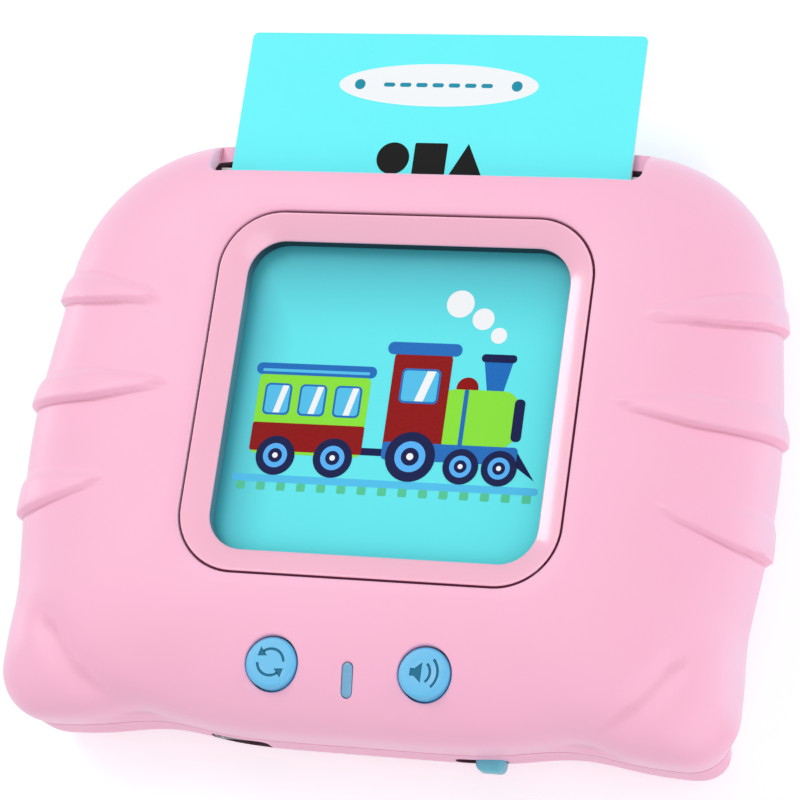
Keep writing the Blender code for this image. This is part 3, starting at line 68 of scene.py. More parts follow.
Colour = tuple[float, float, float]
Point2 = tuple[float, float]
Point3 = tuple[float, float, float]
Outline = list[Point2]
Tree = bpy.types.NodeTree
Node = bpy.types.Node
Socket = bpy.types.NodeSocket
Sockets = Mapping[str, Socket]
Mesh = bmesh.types.BMesh
Piece = bpy.types.Object
FLOAT = "NodeSocketFloat"
COLOUR = "NodeSocketColor"

SCREW_NODES = tuple(f"case_screw_{number}" for number in range(1, 5))
LENS_NODE = "indicator_light_pipe"
HAIR = 0.001 * MM
BUTTON_RADIUS = 3.4 * MM
SHANK_HOLE_RADIUS = 1.6 * MM
KNOB_TRAVEL = 2.4 * MM
KNOB_FLANGE = 1.3 * MM
LESS_THAN_HALF = 0.49
HARD_EDGE = 20.0
CRISP_EDGE = 35.0
SOFT_EDGE = 40.0


class Body(Enum):
    """Moving bodies of the frame."""

    CASE = "case"
    REPEAT_KEY = "repeat_key"
    VOLUME_KEY = "volume_key"
    POWER_SLIDER = "power_slider"
    CARD = "card"


class Slot(Enum):
    """Material slots of the record."""

    CASE = "case"
    CASE_BACK = "case_back"
    BEZEL = "bezel"
    CARD = "card"
    BUTTONS = "buttons"
    LENS = "lens"
    KNOB = "knob"
    METAL = "plated_metal"
    PLASTIC = "inner_plastic"
    SCREWS = "screws"


# ------------------------------------------------------------------ outlines


def polar(centre: Sequence[float], radius: float, angle: float) -> Point2:
    """Point at a distance and an angle from a centre."""
    return centre[0] + radius * math.cos(angle), centre[1] + radius * math.sin(angle)


def circle(radius: float, steps: int = 48, centre: Point2 = (0.0, 0.0)) -> Outline:
    """Points round a circle, anticlockwise."""
    return [polar(centre, radius, 2 * math.pi * i / steps) for i in range(steps)]


def rounded_rectangle(half_x: float, half_y: float, radius: float, steps: int = 8,
                      centre: Point2 = (0.0, 0.0)) -> Outline:
    """Points round a rectangle with round corners.

    Args:
        half_x: Half of its width.
        half_y: Half of its height.
        radius: Radius of its corners.
        steps: Facets of one corner.
        centre: Its middle.

    Returns:
        The points, anticlockwise.
    """
    points = []
    for quarter, (side, rise) in enumerate(((1, 1), (-1, 1), (-1, -1), (1, -1))):
        corner = (centre[0] + side * (half_x - radius), centre[1] + rise * (half_y - radius))
        points += [polar(corner, radius, math.pi / 2 * (quarter + i / steps))
                   for i in range(steps + 1)]
    return points


def band(centre: Point2, radius: float, width: float, start: float, end: float,
         steps: int = 18) -> Outline:
    """Curved stripe of constant width.

    Args:
        centre: Middle of its circle.
        radius: Radius of its middle line.
        width: Width of the stripe.
        start: Angle of one end, in degrees.
        end: Angle of the other end, in degrees.
        steps: Facets along it.

    Returns:
        The outline of the stripe.
    """
    turns = [math.radians(start + (end - start) * i / steps) for i in range(steps + 1)]
    return ([polar(centre, radius + width / 2, turn) for turn in turns]
            + [polar(centre, radius - width / 2, turn) for turn in reversed(turns)])


def outline_normals(points: Sequence[Point2]) -> list[Point2]:
    """Unit normals of an outline, to the left of its direction.

    Args:
        points: The closed outline. A clockwise one gets outward normals.

    Returns:
        One normal for each point.
    """
    normals = []
    for i in range(len(points)):
        before = points[i - 1]
        after = points[(i + 1) % len(points)]
        along = Vector((after[0] - before[0], after[1] - before[1])).normalized()
        normals.append((-along.y, along.x))
    return normals


def grown(points: Sequence[Point2], distance: float) -> Outline:
    """An anticlockwise outline moved outwards, square to itself."""
    normals = outline_normals(points)
    return [(x - nx * distance, y - ny * distance) for (x, y), (nx, ny) in zip(points, normals)]


def filleted(corners: Sequence[Point3], steps: int = 4) -> Outline:
    """Round the corners of a closed profile, each over less than half of its sides.

    Args:
        corners: Corners of the profile, each with the radius of its fillet.
        steps: Facets of each fillet.

    Returns:
        The profile with its fillets.
    """
    points: Outline = []
    for i, (a, b, radius) in enumerate(corners):
        here = Vector((a, b))
        if radius <= 0:
            points.append((a, b))
            continue
        before = Vector(corners[i - 1][:2]) - here
        after = Vector(corners[(i + 1) % len(corners)][:2]) - here
        half = before.angle(after) / 2
        reach = min(radius / math.tan(half), LESS_THAN_HALF * min(before.length, after.length))
        bend = reach * math.tan(half)
        inwards = (before.normalized() + after.normalized()).normalized()
        middle = here + inwards * bend / math.sin(half)
        start = here + before.normalized() * reach - middle
        end = here + after.normalized() * reach - middle
        turn = math.atan2(start.x * end.y - start.y * end.x, start.dot(end))
        first = math.atan2(start.y, start.x)
        points += [polar(middle, bend, first + turn * step / steps) for step in range(steps + 1)]
    return points


# -------------------------------------------------------------------- meshes


def level_ring(points: Iterable[Point2], z: float) -> list[Point3]:
    """Flat ring of points at one height."""
    return [(x, y, z) for x, y in points]


def loft(rings: Sequence[Sequence[Point3]], closed: bool = False, into: Mesh | None = None) -> Mesh:
    """Skin a row of rings.

    Args:
        rings: Rings with the same number of points.
        closed: Whether the last ring joins the first instead of both being capped.
        into: Mesh to add the skin to.

    Returns:
        The mesh with the skin.
    """
    mesh = into or bmesh.new()
    rows = [[mesh.verts.new(point) for point in ring] for ring in rings]
    pairs = list(zip(rows, rows[1:]))
    if closed:
        pairs.append((rows[-1], rows[0]))
    else:
        mesh.faces.new(rows[0])
        mesh.faces.new(rows[-1])
    for lower, upper in pairs:
        for i in range(len(lower)):
            j = (i + 1) % len(lower)
            mesh.faces.new((lower[i], lower[j], upper[j], upper[i]))
    return mesh


def prism(points: Sequence[Point2], low: float, high: float, into: Mesh | None = None) -> Mesh:
    """Straight prism on an outline, between two heights."""
    return loft([level_ring(points, low), level_ring(points, high)], into=into)


def turned(profile: Sequence[Point2], steps: int = 64, centre: Point2 = (0.0, 0.0),
           closed: bool = False, into: Mesh | None = None) -> Mesh:
    """Round piece on an upright axis.

    Args:
        profile: Points of radius and height.
        steps: Facets round the axis.
        centre: Place of the axis.
        closed: Whether the profile is a loop that stays clear of the axis.
        into: Mesh to add the piece to.

    Returns:
        The mesh with the piece.
    """
    rings = [level_ring(circle(radius, steps, centre), z) for radius, z in profile]
    return loft(rings, closed=closed, into=into)


def laid_along_y(rings: Sequence[tuple[Outline, float]], into: Mesh | None = None) -> Mesh:
    """Skin outlines drawn in X and Z at places along Y."""
    return loft([[(x, y, z) for x, z in outline] for outline, y in rings], into=into)


def linked(name: str, data: bpy.types.ID) -> Piece:
    """Put data into the scene as an object."""
    made = bpy.data.objects.new(name, data)
    bpy.context.scene.collection.objects.link(made)
    return made


def make_piece(name: str, mesh: Mesh, sharp: float = CRISP_EDGE) -> Piece:
    """Turn a mesh into a smooth-shaded object.

    Args:
        name: Name of the object.
        mesh: Its shape, which is used up.
        sharp: Angle in degrees from which an edge stays sharp.

    Returns:
        The new object.
    """
    bmesh.ops.recalc_face_normals(mesh, faces=mesh.faces)
    data = bpy.data.meshes.new(name)
    mesh.to_mesh(data)
    mesh.free()
    piece = linked(name, data)
    shade(piece, sharp)
    return piece


def shade(piece: Piece, sharp: float) -> None:
    """Shade a piece smooth, with edges over an angle in degrees kept sharp."""
    piece.data.shade_smooth()
    piece.data.set_sharp_from_angle(angle=math.radians(sharp))


def carve(piece: Piece, shape: Mesh, operation: str = "DIFFERENCE",
          sharp: float = CRISP_EDGE) -> None:
    """Cut a shape out of a piece, or join it on, for good.

    Args:
        piece: The piece to change.
        shape: The other shape, which is used up.
        operation: The Boolean's operation.
        sharp: Angle in degrees from which an edge stays sharp.
    """
    tool = make_piece(f"{piece.name}_tool", shape)
    boolean = piece.modifiers.new("carve", "BOOLEAN")
    boolean.operation = operation
    boolean.solver = "EXACT"
    boolean.object = tool
    graph = bpy.context.evaluated_depsgraph_get()
    carved = bpy.data.meshes.new_from_object(piece.evaluated_get(graph))
    piece.modifiers.clear()
    piece.data = carved
    bpy.data.objects.remove(tool, do_unlink=True)
    shade(piece, sharp)


def publish(piece: Piece, finishes: Sequence[Finish], body: Body, slot: Slot, *nodes: str) -> None:
    """Dress a piece, let it ride on a body and stand for nodes of the frame.

    Args:
        piece: The finished piece.
        finishes: Its finishes, in the order of its faces' material indices.
        body: Body that it rides on.
        slot: Material slot of the record that it belongs to; not used.
        *nodes: Nodes that it replaces.
    """
    for finish in finishes:
        piece.data.materials.append(finish.material())
    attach(piece, body.value)
    if nodes:
        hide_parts(*nodes)
    LOG.info("%s rides on %s, %d faces", piece.name, body.value, len(piece.data.polygons))


def middle_of(node: str) -> Point3:
    """Middle of a node's box at rest."""
    low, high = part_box(node)
    return tuple((a + b) / 2 for a, b in zip(low, high))


def half_of(node: str) -> Point3:
    """Half of the size of a node's box."""
    low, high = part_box(node)
    return tuple((b - a) / 2 for a, b in zip(low, high))


# --------------------------------------------------------------- node groups


def add_node(tree: Tree, kind: str, settings: dict[str, object] | None = None,
             **sockets: object) -> Node:
    """Add a node and fill its inputs.

    Args:
        tree: Tree that gets the node.
        kind: Type of the node.
        settings: Properties of the node.
        **sockets: Values or output sockets, by input name with _ for a space.

    Returns:
        The node.
    """
    node = tree.nodes.new(kind)
    for key, value in (settings or {}).items():
        setattr(node, key, value)
    for label, value in sockets.items():
        feed(tree, node.inputs[label.replace("_", " ")], value)
    return node


def feed(tree: Tree, target: Socket, value: object) -> None:
    """Link an output socket to an input, or set the input to a plain value.

    Args:
        tree: Tree that gets the nodes.
        target: The input.
        value: Output socket or plain value.
    """
    if isinstance(value, Socket):
        tree.links.new(value, target)
    else:
        target.default_value = value


def calculate(tree: Tree, operation: str, *values: object, clamp: bool = False) -> Socket:
    """Result of a Math node.

    Args:
        tree: Tree that gets the nodes.
        operation: The node's operation.
        *values: Its inputs, as sockets or numbers.
        clamp: Whether the result is kept between 0 and 1.

    Returns:
        The result.
    """
    node = add_node(tree, "ShaderNodeMath", {"operation": operation, "use_clamp": clamp})
    for socket, value in zip(node.inputs, values):
        feed(tree, socket, value)
    return node.outputs[0]


def mix_colours(tree: Tree, factor: object, first: object, second: object) -> Socket:
    """Colour between two colours.

    Args:
        tree: Tree that gets the nodes.
        factor: Share of the second colour.
        first: The first colour.
        second: The second colour.

    Returns:
        The mixed colour.
    """
    node = add_node(tree, "ShaderNodeMix", {"data_type": "RGBA"})
    feed(tree, node.inputs[0], factor)
    feed(tree, node.inputs[6], first)
    feed(tree, node.inputs[7], second)
    return node.outputs[2]


def spread(tree: Tree, value: object, low: float, high: float, new_low: float = 0.0,
           new_high: float = 1.0) -> Socket:
    """Map a range of values to another range, clamped."""
    node = add_node(tree, "ShaderNodeMapRange", Value=value, From_Min=low, From_Max=high,
                    To_Min=new_low, To_Max=new_high)
    return node.outputs["Result"]


def object_place(tree: Tree) -> Socket:
    """Coordinates that stay with the piece, in metres."""
    return add_node(tree, "ShaderNodeTexCoord").outputs["Object"]


def parts_of(tree: Tree, vector: Socket) -> list[Socket]:
    """Sockets of a vector's X, Y and Z."""
    return list(add_node(tree, "ShaderNodeSeparateXYZ", Vector=vector).outputs)


def noise(tree: Tree, size: object, detail: float = 2.0, place: Socket | None = None) -> Socket:
    """Noise whose features are about as large as a size in metres.

    Args:
        tree: Tree that gets the nodes.
        size: Size of the features, in metres.
        detail: Octaves of finer noise.
        place: Coordinates, or the object's own when left out.

    Returns:
        The noise, about 0 to 1.
    """
    scale = calculate(tree, "DIVIDE", 1.0, size)
    node = add_node(tree, "ShaderNodeTexNoise", Vector=place or object_place(tree), Scale=scale,
                    Detail=detail)
    return node.outputs["Fac"]


def wide(colour: Colour) -> tuple[float, float, float, float]:
    """Colour with full opacity."""
    return (*colour, 1.0)


class EffectGroup:
    """Shader node group that several finishes share, built when it is first needed."""

    name = ""
    inputs: tuple[tuple[str, str], ...] = ()
    outputs: tuple[tuple[str, str], ...] = ()

    @classmethod
    def tree(cls) -> Tree:
        """The group's node tree.

        Returns:
            The tree, made once.
        """
        made = bpy.data.node_groups.get(cls.name)
        if made:
            return made
        made = bpy.data.node_groups.new(cls.name, "ShaderNodeTree")
        for direction, sockets in (("INPUT", cls.inputs), ("OUTPUT", cls.outputs)):
            for label, kind in sockets:
                made.interface.new_socket(name=label, in_out=direction, socket_type=kind)
        given = made.nodes.new("NodeGroupInput").outputs
        result = made.nodes.new("NodeGroupOutput").inputs
        for label, socket in cls.lay_out(made, given).items():
            feed(made, result[label], socket)
        return made

    @classmethod
    def lay_out(cls, tree: Tree, given: Sockets) -> Sockets:
        """Add the group's nodes.

        Args:
            tree: The group's tree.
            given: Sockets of its inputs, by name.

        Returns:
            Sockets that feed its outputs, by name.
        """
        raise NotImplementedError

    @classmethod
    def place(cls, tree: Tree, **sockets: object) -> Sockets:
        """Place the group in a material with its own values, and give its outputs."""
        return add_node(tree, "ShaderNodeGroup", {"node_tree": cls.tree()}, **sockets).outputs


class MouldGrain(EffectGroup):
    """Fine grain that a moulded or printed surface keeps from its tool."""

    name = "mould_grain"
    inputs = (("Size", FLOAT), ("Roughness", FLOAT), ("Change", FLOAT))
    outputs = (("Height", FLOAT), ("Roughness", FLOAT))
    patch_share = 30.0

    @classmethod
    def lay_out(cls, tree: Tree, given: Sockets) -> Sockets:
        """Noise of one size for the height, and slow patches for the roughness.

        Args:
            tree: The group's tree.
            given: Sockets of its inputs, by name.

        Returns:
            Sockets that feed its outputs, by name.
        """
        patch_size = calculate(tree, "MULTIPLY", given["Size"], cls.patch_share)
        patches = calculate(tree, "SUBTRACT", noise(tree, patch_size), 0.5)
        shift = calculate(tree, "MULTIPLY", patches, given["Change"])
        return {"Height": noise(tree, given["Size"], 3.0),
                "Roughness": calculate(tree, "ADD", given["Roughness"], shift, clamp=True)}


class Tint(EffectGroup):
    """Second colour mixed in where a mask says."""

    inputs = (("Colour", COLOUR), ("Tint", COLOUR), ("Amount", FLOAT))
    outputs = (("Colour", COLOUR),)

    @classmethod
    def lay_out(cls, tree: Tree, given: Sockets) -> Sockets:
        """Mix the two colours by the mask, times the amount."""
        mask = calculate(tree, "MULTIPLY", cls.mask(tree, given), given["Amount"])
        return {"Colour": mix_colours(tree, mask, given["Colour"], given["Tint"])}

    @classmethod
    def mask(cls, tree: Tree, given: Sockets) -> Socket:
        """Where the tint goes, from 0 to 1."""
        raise NotImplementedError


class DriftingTone(Tint):
    """Slow drift between a colour and a deeper one."""

    name = "drifting_tone"
    inputs = Tint.inputs + (("Size", FLOAT),)
    clouds = (0.3, 0.7)

    @classmethod
    def mask(cls, tree: Tree, given: Sockets) -> Socket:
        """Wide noise."""
        return spread(tree, noise(tree, given["Size"], 3.0), *cls.clouds)


class WornEdges(Tint):
    """Paler edges where hands rub a piece."""

    name = "worn_edges"
    inputs = Tint.inputs + (("Size", FLOAT),)
    convex = (0.52, 0.62)
    patches = (0.4, 0.65)

    @classmethod
    def mask(cls, tree: Tree, given: Sockets) -> Socket:
        """Convex edges, broken up with noise."""
        edge = add_node(tree, "ShaderNodeNewGeometry").outputs["Pointiness"]
        patches = spread(tree, noise(tree, given["Size"]), *cls.patches)
        return calculate(tree, "MULTIPLY", spread(tree, edge, *cls.convex), patches)


class PaintedCreaseShade(Tint):
    """Painted shade: deeper tone in concave creases, where little light gets in."""

    name = "painted_crease_shade"
    concave = (0.44, 0.49)

    @classmethod
    def mask(cls, tree: Tree, given: Sockets) -> Socket:
        """Concave bends, where the shade is painted."""
        edge = add_node(tree, "ShaderNodeNewGeometry").outputs["Pointiness"]
        return spread(tree, edge, *cls.concave, 1.0, 0.0)


class PaintedRimSheen(Tint):
    """Painted sheen: paler lilac tone on the sides and the upper rim, where grazing light reflects
    off soft plastic.
    """

    name = "painted_rim_sheen"
    facing = (0.5, 0.98)
    upwards = (-0.35, 0.05)

    @classmethod
    def mask(cls, tree: Tree, given: Sockets) -> Socket:
        """Where the surface leans, apart from the lower wall: where the painted sheen goes."""
        _, up, out = parts_of(tree, add_node(tree, "ShaderNodeTexCoord").outputs["Normal"])
        leaning = spread(tree, calculate(tree, "ABSOLUTE", out), *cls.facing, 1.0, 0.0)
        return calculate(tree, "MULTIPLY", leaning, spread(tree, up, *cls.upwards))


class FineScuffs(EffectGroup):
    """Hair-thin rubbing marks, which change only the roughness."""

    name = "fine_scuffs"
    inputs = (("Size", FLOAT), ("Amount", FLOAT))
    outputs = (("Mask", FLOAT),)
    strokes = ((0.5, (1.0, 14.0, 1.0)), (2.1, (11.0, 1.0, 1.0)))
    peaks = (0.66, 0.74)

    @classmethod
    def lay_out(cls, tree: Tree, given: Sockets) -> Sockets:
        """Stretched noise in two directions, kept where it peaks.

        Args:
            tree: The group's tree.
            given: Sockets of its inputs, by name.

        Returns:
            Sockets that feed its outputs, by name.
        """
        marks = []
        for turn, stretch in cls.strokes:
            place = add_node(tree, "ShaderNodeMapping", Vector=object_place(tree),
                             Rotation=(0.0, 0.0, turn), Scale=stretch)
            streaks = noise(tree, given["Size"], 1.0, place.outputs["Vector"])
            marks.append(spread(tree, streaks, *cls.peaks))
        mask = calculate(tree, "MAXIMUM", *marks)
        return {"Mask": calculate(tree, "MULTIPLY", mask, given["Amount"])}


# ------------------------------------------------------------------ finishes

PALE_LILAC = (0.93, 0.86, 1.0)
PURE_WHITE = (1.0, 1.0, 1.0)


@dataclass(frozen=True)
class Finish:
    """Base of every finish: drifting colour, grain, scuffs, worn edges and painted shade in concave
    creases.
    """

    name: str
    colour: Colour
    deep: Colour
    roughness: float
    metallic: float = 0.0
    specular: float = 0.5
    drift_size: float = 22 * MM
    drift: float = 0.35
    grain_size: float = 0.22 * MM
    grain_height: float = 0.004 * MM
    rough_change: float = 0.12
    scuffs: float = 0.08
    worn: Colour = PURE_WHITE
    wear: float = 0.12
    # crease and the amount below it: colour and strength of the painted shade in concave creases.
    crease: Colour = (0.3, 0.3, 0.3)
    crease_shading: float = 0.0
    sheen: float = 0.0
    sheen_roughness: float = 0.5
    sheen_tint: Colour = PURE_WHITE
    coat: float = 0.0
    coat_roughness: float = 0.12
    wear_size: float = 2.5 * MM
    scuff_size: float = 1.6 * MM

    def material(self) -> bpy.types.Material:
        """The finish as a material, made once.

        Returns:
            The material.
        """
        made = bpy.data.materials.get(self.name)
        if made:
            return made
        made = bpy.data.materials.new(self.name)
        made.use_nodes = True
        made.diffuse_color = wide(self.colour)
        tree = made.node_tree
        shader = tree.nodes["Principled BSDF"]
        shine = {"Metallic": self.metallic, "Specular IOR Level": self.specular,
                 "Sheen Weight": self.sheen, "Sheen Roughness": self.sheen_roughness,
                 "Sheen Tint": wide(self.sheen_tint), "Coat Weight": self.coat,
                 "Coat Roughness": self.coat_roughness}
        for label, value in shine.items():
            shader.inputs[label].default_value = value
        self.dress(tree, shader)
        return made

    def dress(self, tree: Tree, shader: Node) -> None:
        """Feed the shader's colour, roughness and normal.

        Args:
            tree: The material's tree.
            shader: Its Principled shader.
        """
        colour = self.pattern(tree, self.base_colour(tree))
        worn = WornEdges.place(tree, Colour=colour, Tint=wide(self.worn), Amount=self.wear,
                               Size=self.wear_size)
        # Painted shade in concave creases, over the colour.
        crease_shaded = PaintedCreaseShade.place(tree, Colour=worn["Colour"], Tint=wide(self.crease),
                                    Amount=self.crease_shading)
        feed(tree, shader.inputs["Base Color"], crease_shaded["Colour"])
        grain = MouldGrain.place(tree, Size=self.grain_size, Roughness=self.roughness,
                                 Change=self.rough_change)
        scuffs = FineScuffs.place(tree, Size=self.scuff_size, Amount=self.scuffs)
        rough = calculate(tree, "ADD", grain["Roughness"], scuffs["Mask"], clamp=True)
        feed(tree, shader.inputs["Roughness"], rough)
        bump = add_node(tree, "ShaderNodeBump", Height=self.relief(tree, grain["Height"]),
                        Distance=self.grain_height, Strength=1.0)
        feed(tree, shader.inputs["Normal"], bump.outputs["Normal"])

    def base_colour(self, tree: Tree) -> Socket:
        """Colour that drifts slowly over the piece."""
        return DriftingTone.place(tree, Colour=wide(self.colour), Tint=wide(self.deep),
                                  Size=self.drift_size, Amount=self.drift)["Colour"]

    def pattern(self, tree: Tree, colour: Socket) -> Socket:
        """Pattern of the finish over its colour; a plain finish has none."""
        return colour

    def relief(self, tree: Tree, height: Socket) -> Socket:
        """Height map of the finish; a plain finish has only its grain."""
        return height


@dataclass(frozen=True)
class SoftPlastic(Finish):
    """Soft case plastic, with painted sheen that makes its sides paler."""

    # rim is the colour of the painted sheen on the sides; the field below is its amount.
    rim: Colour = PALE_LILAC
    painted_sheen: float = 0.35

    def pattern(self, tree: Tree, colour: Socket) -> Socket:
        """Mix the painted sheen's paler colour in on the sides and the upper rim."""
        return PaintedRimSheen.place(tree, Colour=colour, Tint=wide(self.rim), Amount=self.painted_sheen)["Colour"]


@dataclass(frozen=True)
class PrintedInk(Finish):
    """Ink on card, with the faint mottling of print."""

    roughness: float = 0.4
    specular: float = 0.06
    wear: float = 0.0
    dot_size: float = 0.16 * MM
    scatter: float = 0.35
    dots: Point2 = (0.1, 0.45)
    mottling: float = 0.04

    def pattern(self, tree: Tree, colour: Socket) -> Socket:
        """Speckle the ink with tiny lighter dots.

        Args:
            tree: The material's tree.
            colour: Colour under it.

        Returns:
            The new colour.
        """
        cells = add_node(tree, "ShaderNodeTexVoronoi", Vector=object_place(tree),
                         Scale=1 / self.dot_size, Randomness=self.scatter)
        dots = spread(tree, cells.outputs["Distance"], *self.dots, self.mottling, 0.0)
        return mix_colours(tree, dots, colour, wide(PURE_WHITE))


@dataclass(frozen=True)
class PrintWithPaintedShadow(PrintedInk):
    """Flat print with painted shadow: the picture deepens towards its upper and left edges, where
    the bezel's shadow falls in the window, then fades out.
    """

    # sky is the colour of the painted shadow; everywhere is the painted shade over the whole window
    # area.
    sky: Colour = (0.06, 0.42, 0.5)
    top_y: float = 21.9 * MM
    left_x: float = -22.6 * MM
    end_y: float = 27.0 * MM
    end_x: float = -27.5 * MM
    depth: float = 14 * MM
    side_depth: float = 8 * MM
    top_power: float = 1.6
    side_power: float = 1.4
    everywhere: float = 0.2
    strength: float = 1.0
    past_side: float = 0.2

    def pattern(self, tree: Tree, colour: Socket) -> Socket:
        """Mix the painted shadow's deeper colour in over the picture.

        Args:
            tree: The material's tree.
            colour: Colour under it.

        Returns:
            The new colour.
        """
        x, y, _ = parts_of(tree, object_place(tree))
        near_top = spread(tree, y, self.top_y - self.depth, self.top_y)
        near_left = spread(tree, x, self.left_x, self.left_x + self.side_depth, 1.0, 0.0)
        near_left = calculate(tree, "POWER", near_left, self.side_power)
        near_top = calculate(tree, "POWER", near_top, self.top_power)
        near = calculate(tree, "MAXIMUM", near_top, near_left)
        share = spread(tree, near, 0.0, 1.0, self.everywhere, self.strength)
        for fade in (spread(tree, y, self.top_y, self.end_y, 1.0, 0.0),
                     spread(tree, x, self.end_x, self.left_x, self.past_side, 1.0)):
            share = calculate(tree, "MULTIPLY", share, fade)
        return super().pattern(tree, mix_colours(tree, share, colour, wide(self.sky)))


@dataclass(frozen=True)
class WindowWallShade(Finish):
    """Painted shade on the wall under the bezel's slope: dark teal for the shade with the card's
    cyan reflected in it, deeper along its upper side.
    """

    shade: Colour = (0.012, 0.035, 0.05)
    shade_from: float = 13 * MM
    shade_to: float = 21 * MM

    def pattern(self, tree: Tree, colour: Socket) -> Socket:
        """Paint deeper shade on the wall towards its upper side."""
        _, y, _ = parts_of(tree, object_place(tree))
        near_top = spread(tree, y, self.shade_from, self.shade_to)
        return mix_colours(tree, near_top, colour, wide(self.shade))


@dataclass(frozen=True)
class ClearPlastic(Finish):
    """Tinted plastic that lets light into it."""

    transmission: float = 0.35
    refraction: float = 1.49

    def dress(self, tree: Tree, shader: Node) -> None:
        """Let some light through, on top of the plain dressing."""
        shader.inputs["Transmission Weight"].default_value = self.transmission
        shader.inputs["IOR"].default_value = self.refraction
        super().dress(tree, shader)


@dataclass(frozen=True)
class BrushedMetal(Finish):
    """Plated or rolled metal with fine streaks."""

    metallic: float = 1.0
    streak_size: float = 0.3 * MM
    stretch: Point3 = (0.06, 1.0, 1.0)

    def relief(self, tree: Tree, height: Socket) -> Socket:
        """Streaks along X under the grain.

        Args:
            tree: The material's tree.
            height: Height of the grain.

        Returns:
            The new height.
        """
        place = add_node(tree, "ShaderNodeMapping", Vector=object_place(tree),
                         Scale=self.stretch)
        streaks = noise(tree, self.streak_size, 2.0, place.outputs["Vector"])
        return calculate(tree, "ADD", height, streaks)


@dataclass(frozen=True)
class BoardLacquer(Finish):
    """Green lacquer over copper tracks, which show as paler lines."""

    track_pitch: float = 1.6 * MM
    track_offset: float = 0.37
    track_width: float = 0.035
    track_blur: float = 0.2
    pad_edge: Point2 = (0.13, 0.17)
    pad_scatter: float = 0.55
    track: Colour = (0.05, 0.38, 0.14)
    pad: Colour = (0.75, 0.7, 0.55)

    def pattern(self, tree: Tree, colour: Socket) -> Socket:
        """Tracks along two directions and small tinned pads.

        Args:
            tree: The material's tree.
            colour: Colour under it.

        Returns:
            The new colour.
        """
        place = object_place(tree)
        cells = add_node(tree, "ShaderNodeTexBrick", {"offset": self.track_offset}, Vector=place,
                         Scale=1 / (4 * self.track_pitch), Mortar_Size=self.track_width,
                         Mortar_Smooth=self.track_blur,
                         Color1=wide(self.colour), Color2=wide(self.deep), Mortar=wide(self.track))
        dots = add_node(tree, "ShaderNodeTexVoronoi", Vector=place, Scale=1 / self.track_pitch,
                        Randomness=self.pad_scatter)
        pads = spread(tree, dots.outputs["Distance"], *self.pad_edge, 1.0, 0.0)
        return mix_colours(tree, pads, cells.outputs["Color"], wide(self.pad))


@dataclass(frozen=True)
class PressedPaper(Finish):
    """Pulp of a speaker cone, with fibres and pressed rings."""

    ring_pitch: float = 1.7 * MM

    def relief(self, tree: Tree, height: Socket) -> Socket:
        """Rings round the speaker's axis and loose fibres.

        Args:
            tree: The material's tree.
            height: Height of the grain.

        Returns:
            The new height.
        """
        x, y, _ = middle_of("speaker_cone")
        place = add_node(tree, "ShaderNodeMapping", Vector=object_place(tree),
                         Location=(-x, -y, 0.0), Scale=(1.0, 1.0, 0.0))
        radius = add_node(tree, "ShaderNodeVectorMath", {"operation": "LENGTH"})
        feed(tree, radius.inputs[0], place.outputs["Vector"])
        turn = calculate(tree, "MULTIPLY", radius.outputs["Value"], 2 * math.pi / self.ring_pitch)
        return calculate(tree, "ADD", height, calculate(tree, "SINE", turn))


PINK = (0.985, 0.495, 0.655)
PINK_DEEP = (0.97, 0.44, 0.61)

# Case pink: its crease colour is painted shade in concave creases, and as SoftPlastic it gets
# painted sheen on its sides.
CASE_PINK = SoftPlastic("case_pink", PINK, PINK_DEEP, 0.4, crease=(0.55, 0.17, 0.24), crease_shading=0.8,
                        sheen=0.35, sheen_tint=PALE_LILAC)
BACK_PINK = SoftPlastic("case_pink_grained", PINK, PINK_DEEP, 0.55, grain_size=0.35 * MM,
                        grain_height=0.02 * MM, wear=0.0, sheen=0.2, sheen_tint=PALE_LILAC)
BEZEL_PINK = Finish("bezel_pink", (0.99, 0.5, 0.635), (0.97, 0.45, 0.6), 0.3,
                    grain_height=0.002 * MM, coat=0.6)
# Dark teal of the window wall: painted shade with the card's cyan reflected in it.
BEZEL_WALL_SHADE = WindowWallShade("bezel_wall_painted_shade", (0.11, 0.27, 0.34), (0.09, 0.22, 0.28), 0.6, specular=0.2)
# Dark plum in the joint round the bezel: painted shade in the narrow gap.
JOINT_SHADE = Finish("joint_painted_shade", (0.2, 0.05, 0.1), (0.17, 0.04, 0.08), 0.8, specular=0.1)
# The card's cyan carries the painted shadow of the window's bezel.
CARD_STOCK = PrintWithPaintedShadow("card_cyan_painted_shadow", (0.14, 0.94, 0.965), (0.12, 0.89, 0.93), 0.42,
                        drift=0.2, specular=0.2, grain_height=0.002 * MM)
CARD_CORE = Finish("card_core", (0.9, 0.9, 0.88), (0.8, 0.8, 0.78), 0.75, grain_size=0.08 * MM)
BUTTON_BLUE = Finish("button_blue", (0.13, 0.53, 0.84), (0.11, 0.48, 0.79), 0.32, wear=0.2)
SIGN_BLUE = Finish("sign_blue", (0.015, 0.17, 0.28), (0.01, 0.14, 0.24), 0.5, wear=0.0,
                   specular=0.2)
LENS_BLUE = ClearPlastic("lens_blue", (0.2, 0.47, 0.7), (0.17, 0.43, 0.66), 0.25, wear=0.0,
                         transmission=0.05)
# Near-black plum inside the wall openings: painted shade in the recesses.
OPENING_SHADE = Finish("opening_painted_shade", (0.06, 0.02, 0.035), (0.08, 0.028, 0.045), 0.8, specular=0.1)
KNOB_TEAL = Finish("knob_teal", (0.13, 0.5, 0.62), (0.1, 0.44, 0.55), 0.34, wear=0.25)
STEEL = BrushedMetal("plated_steel", (0.62, 0.62, 0.64), (0.5, 0.5, 0.52), 0.3)
GOLD = BrushedMetal("contact_gold", (0.9, 0.66, 0.28), (0.8, 0.55, 0.2), 0.28)
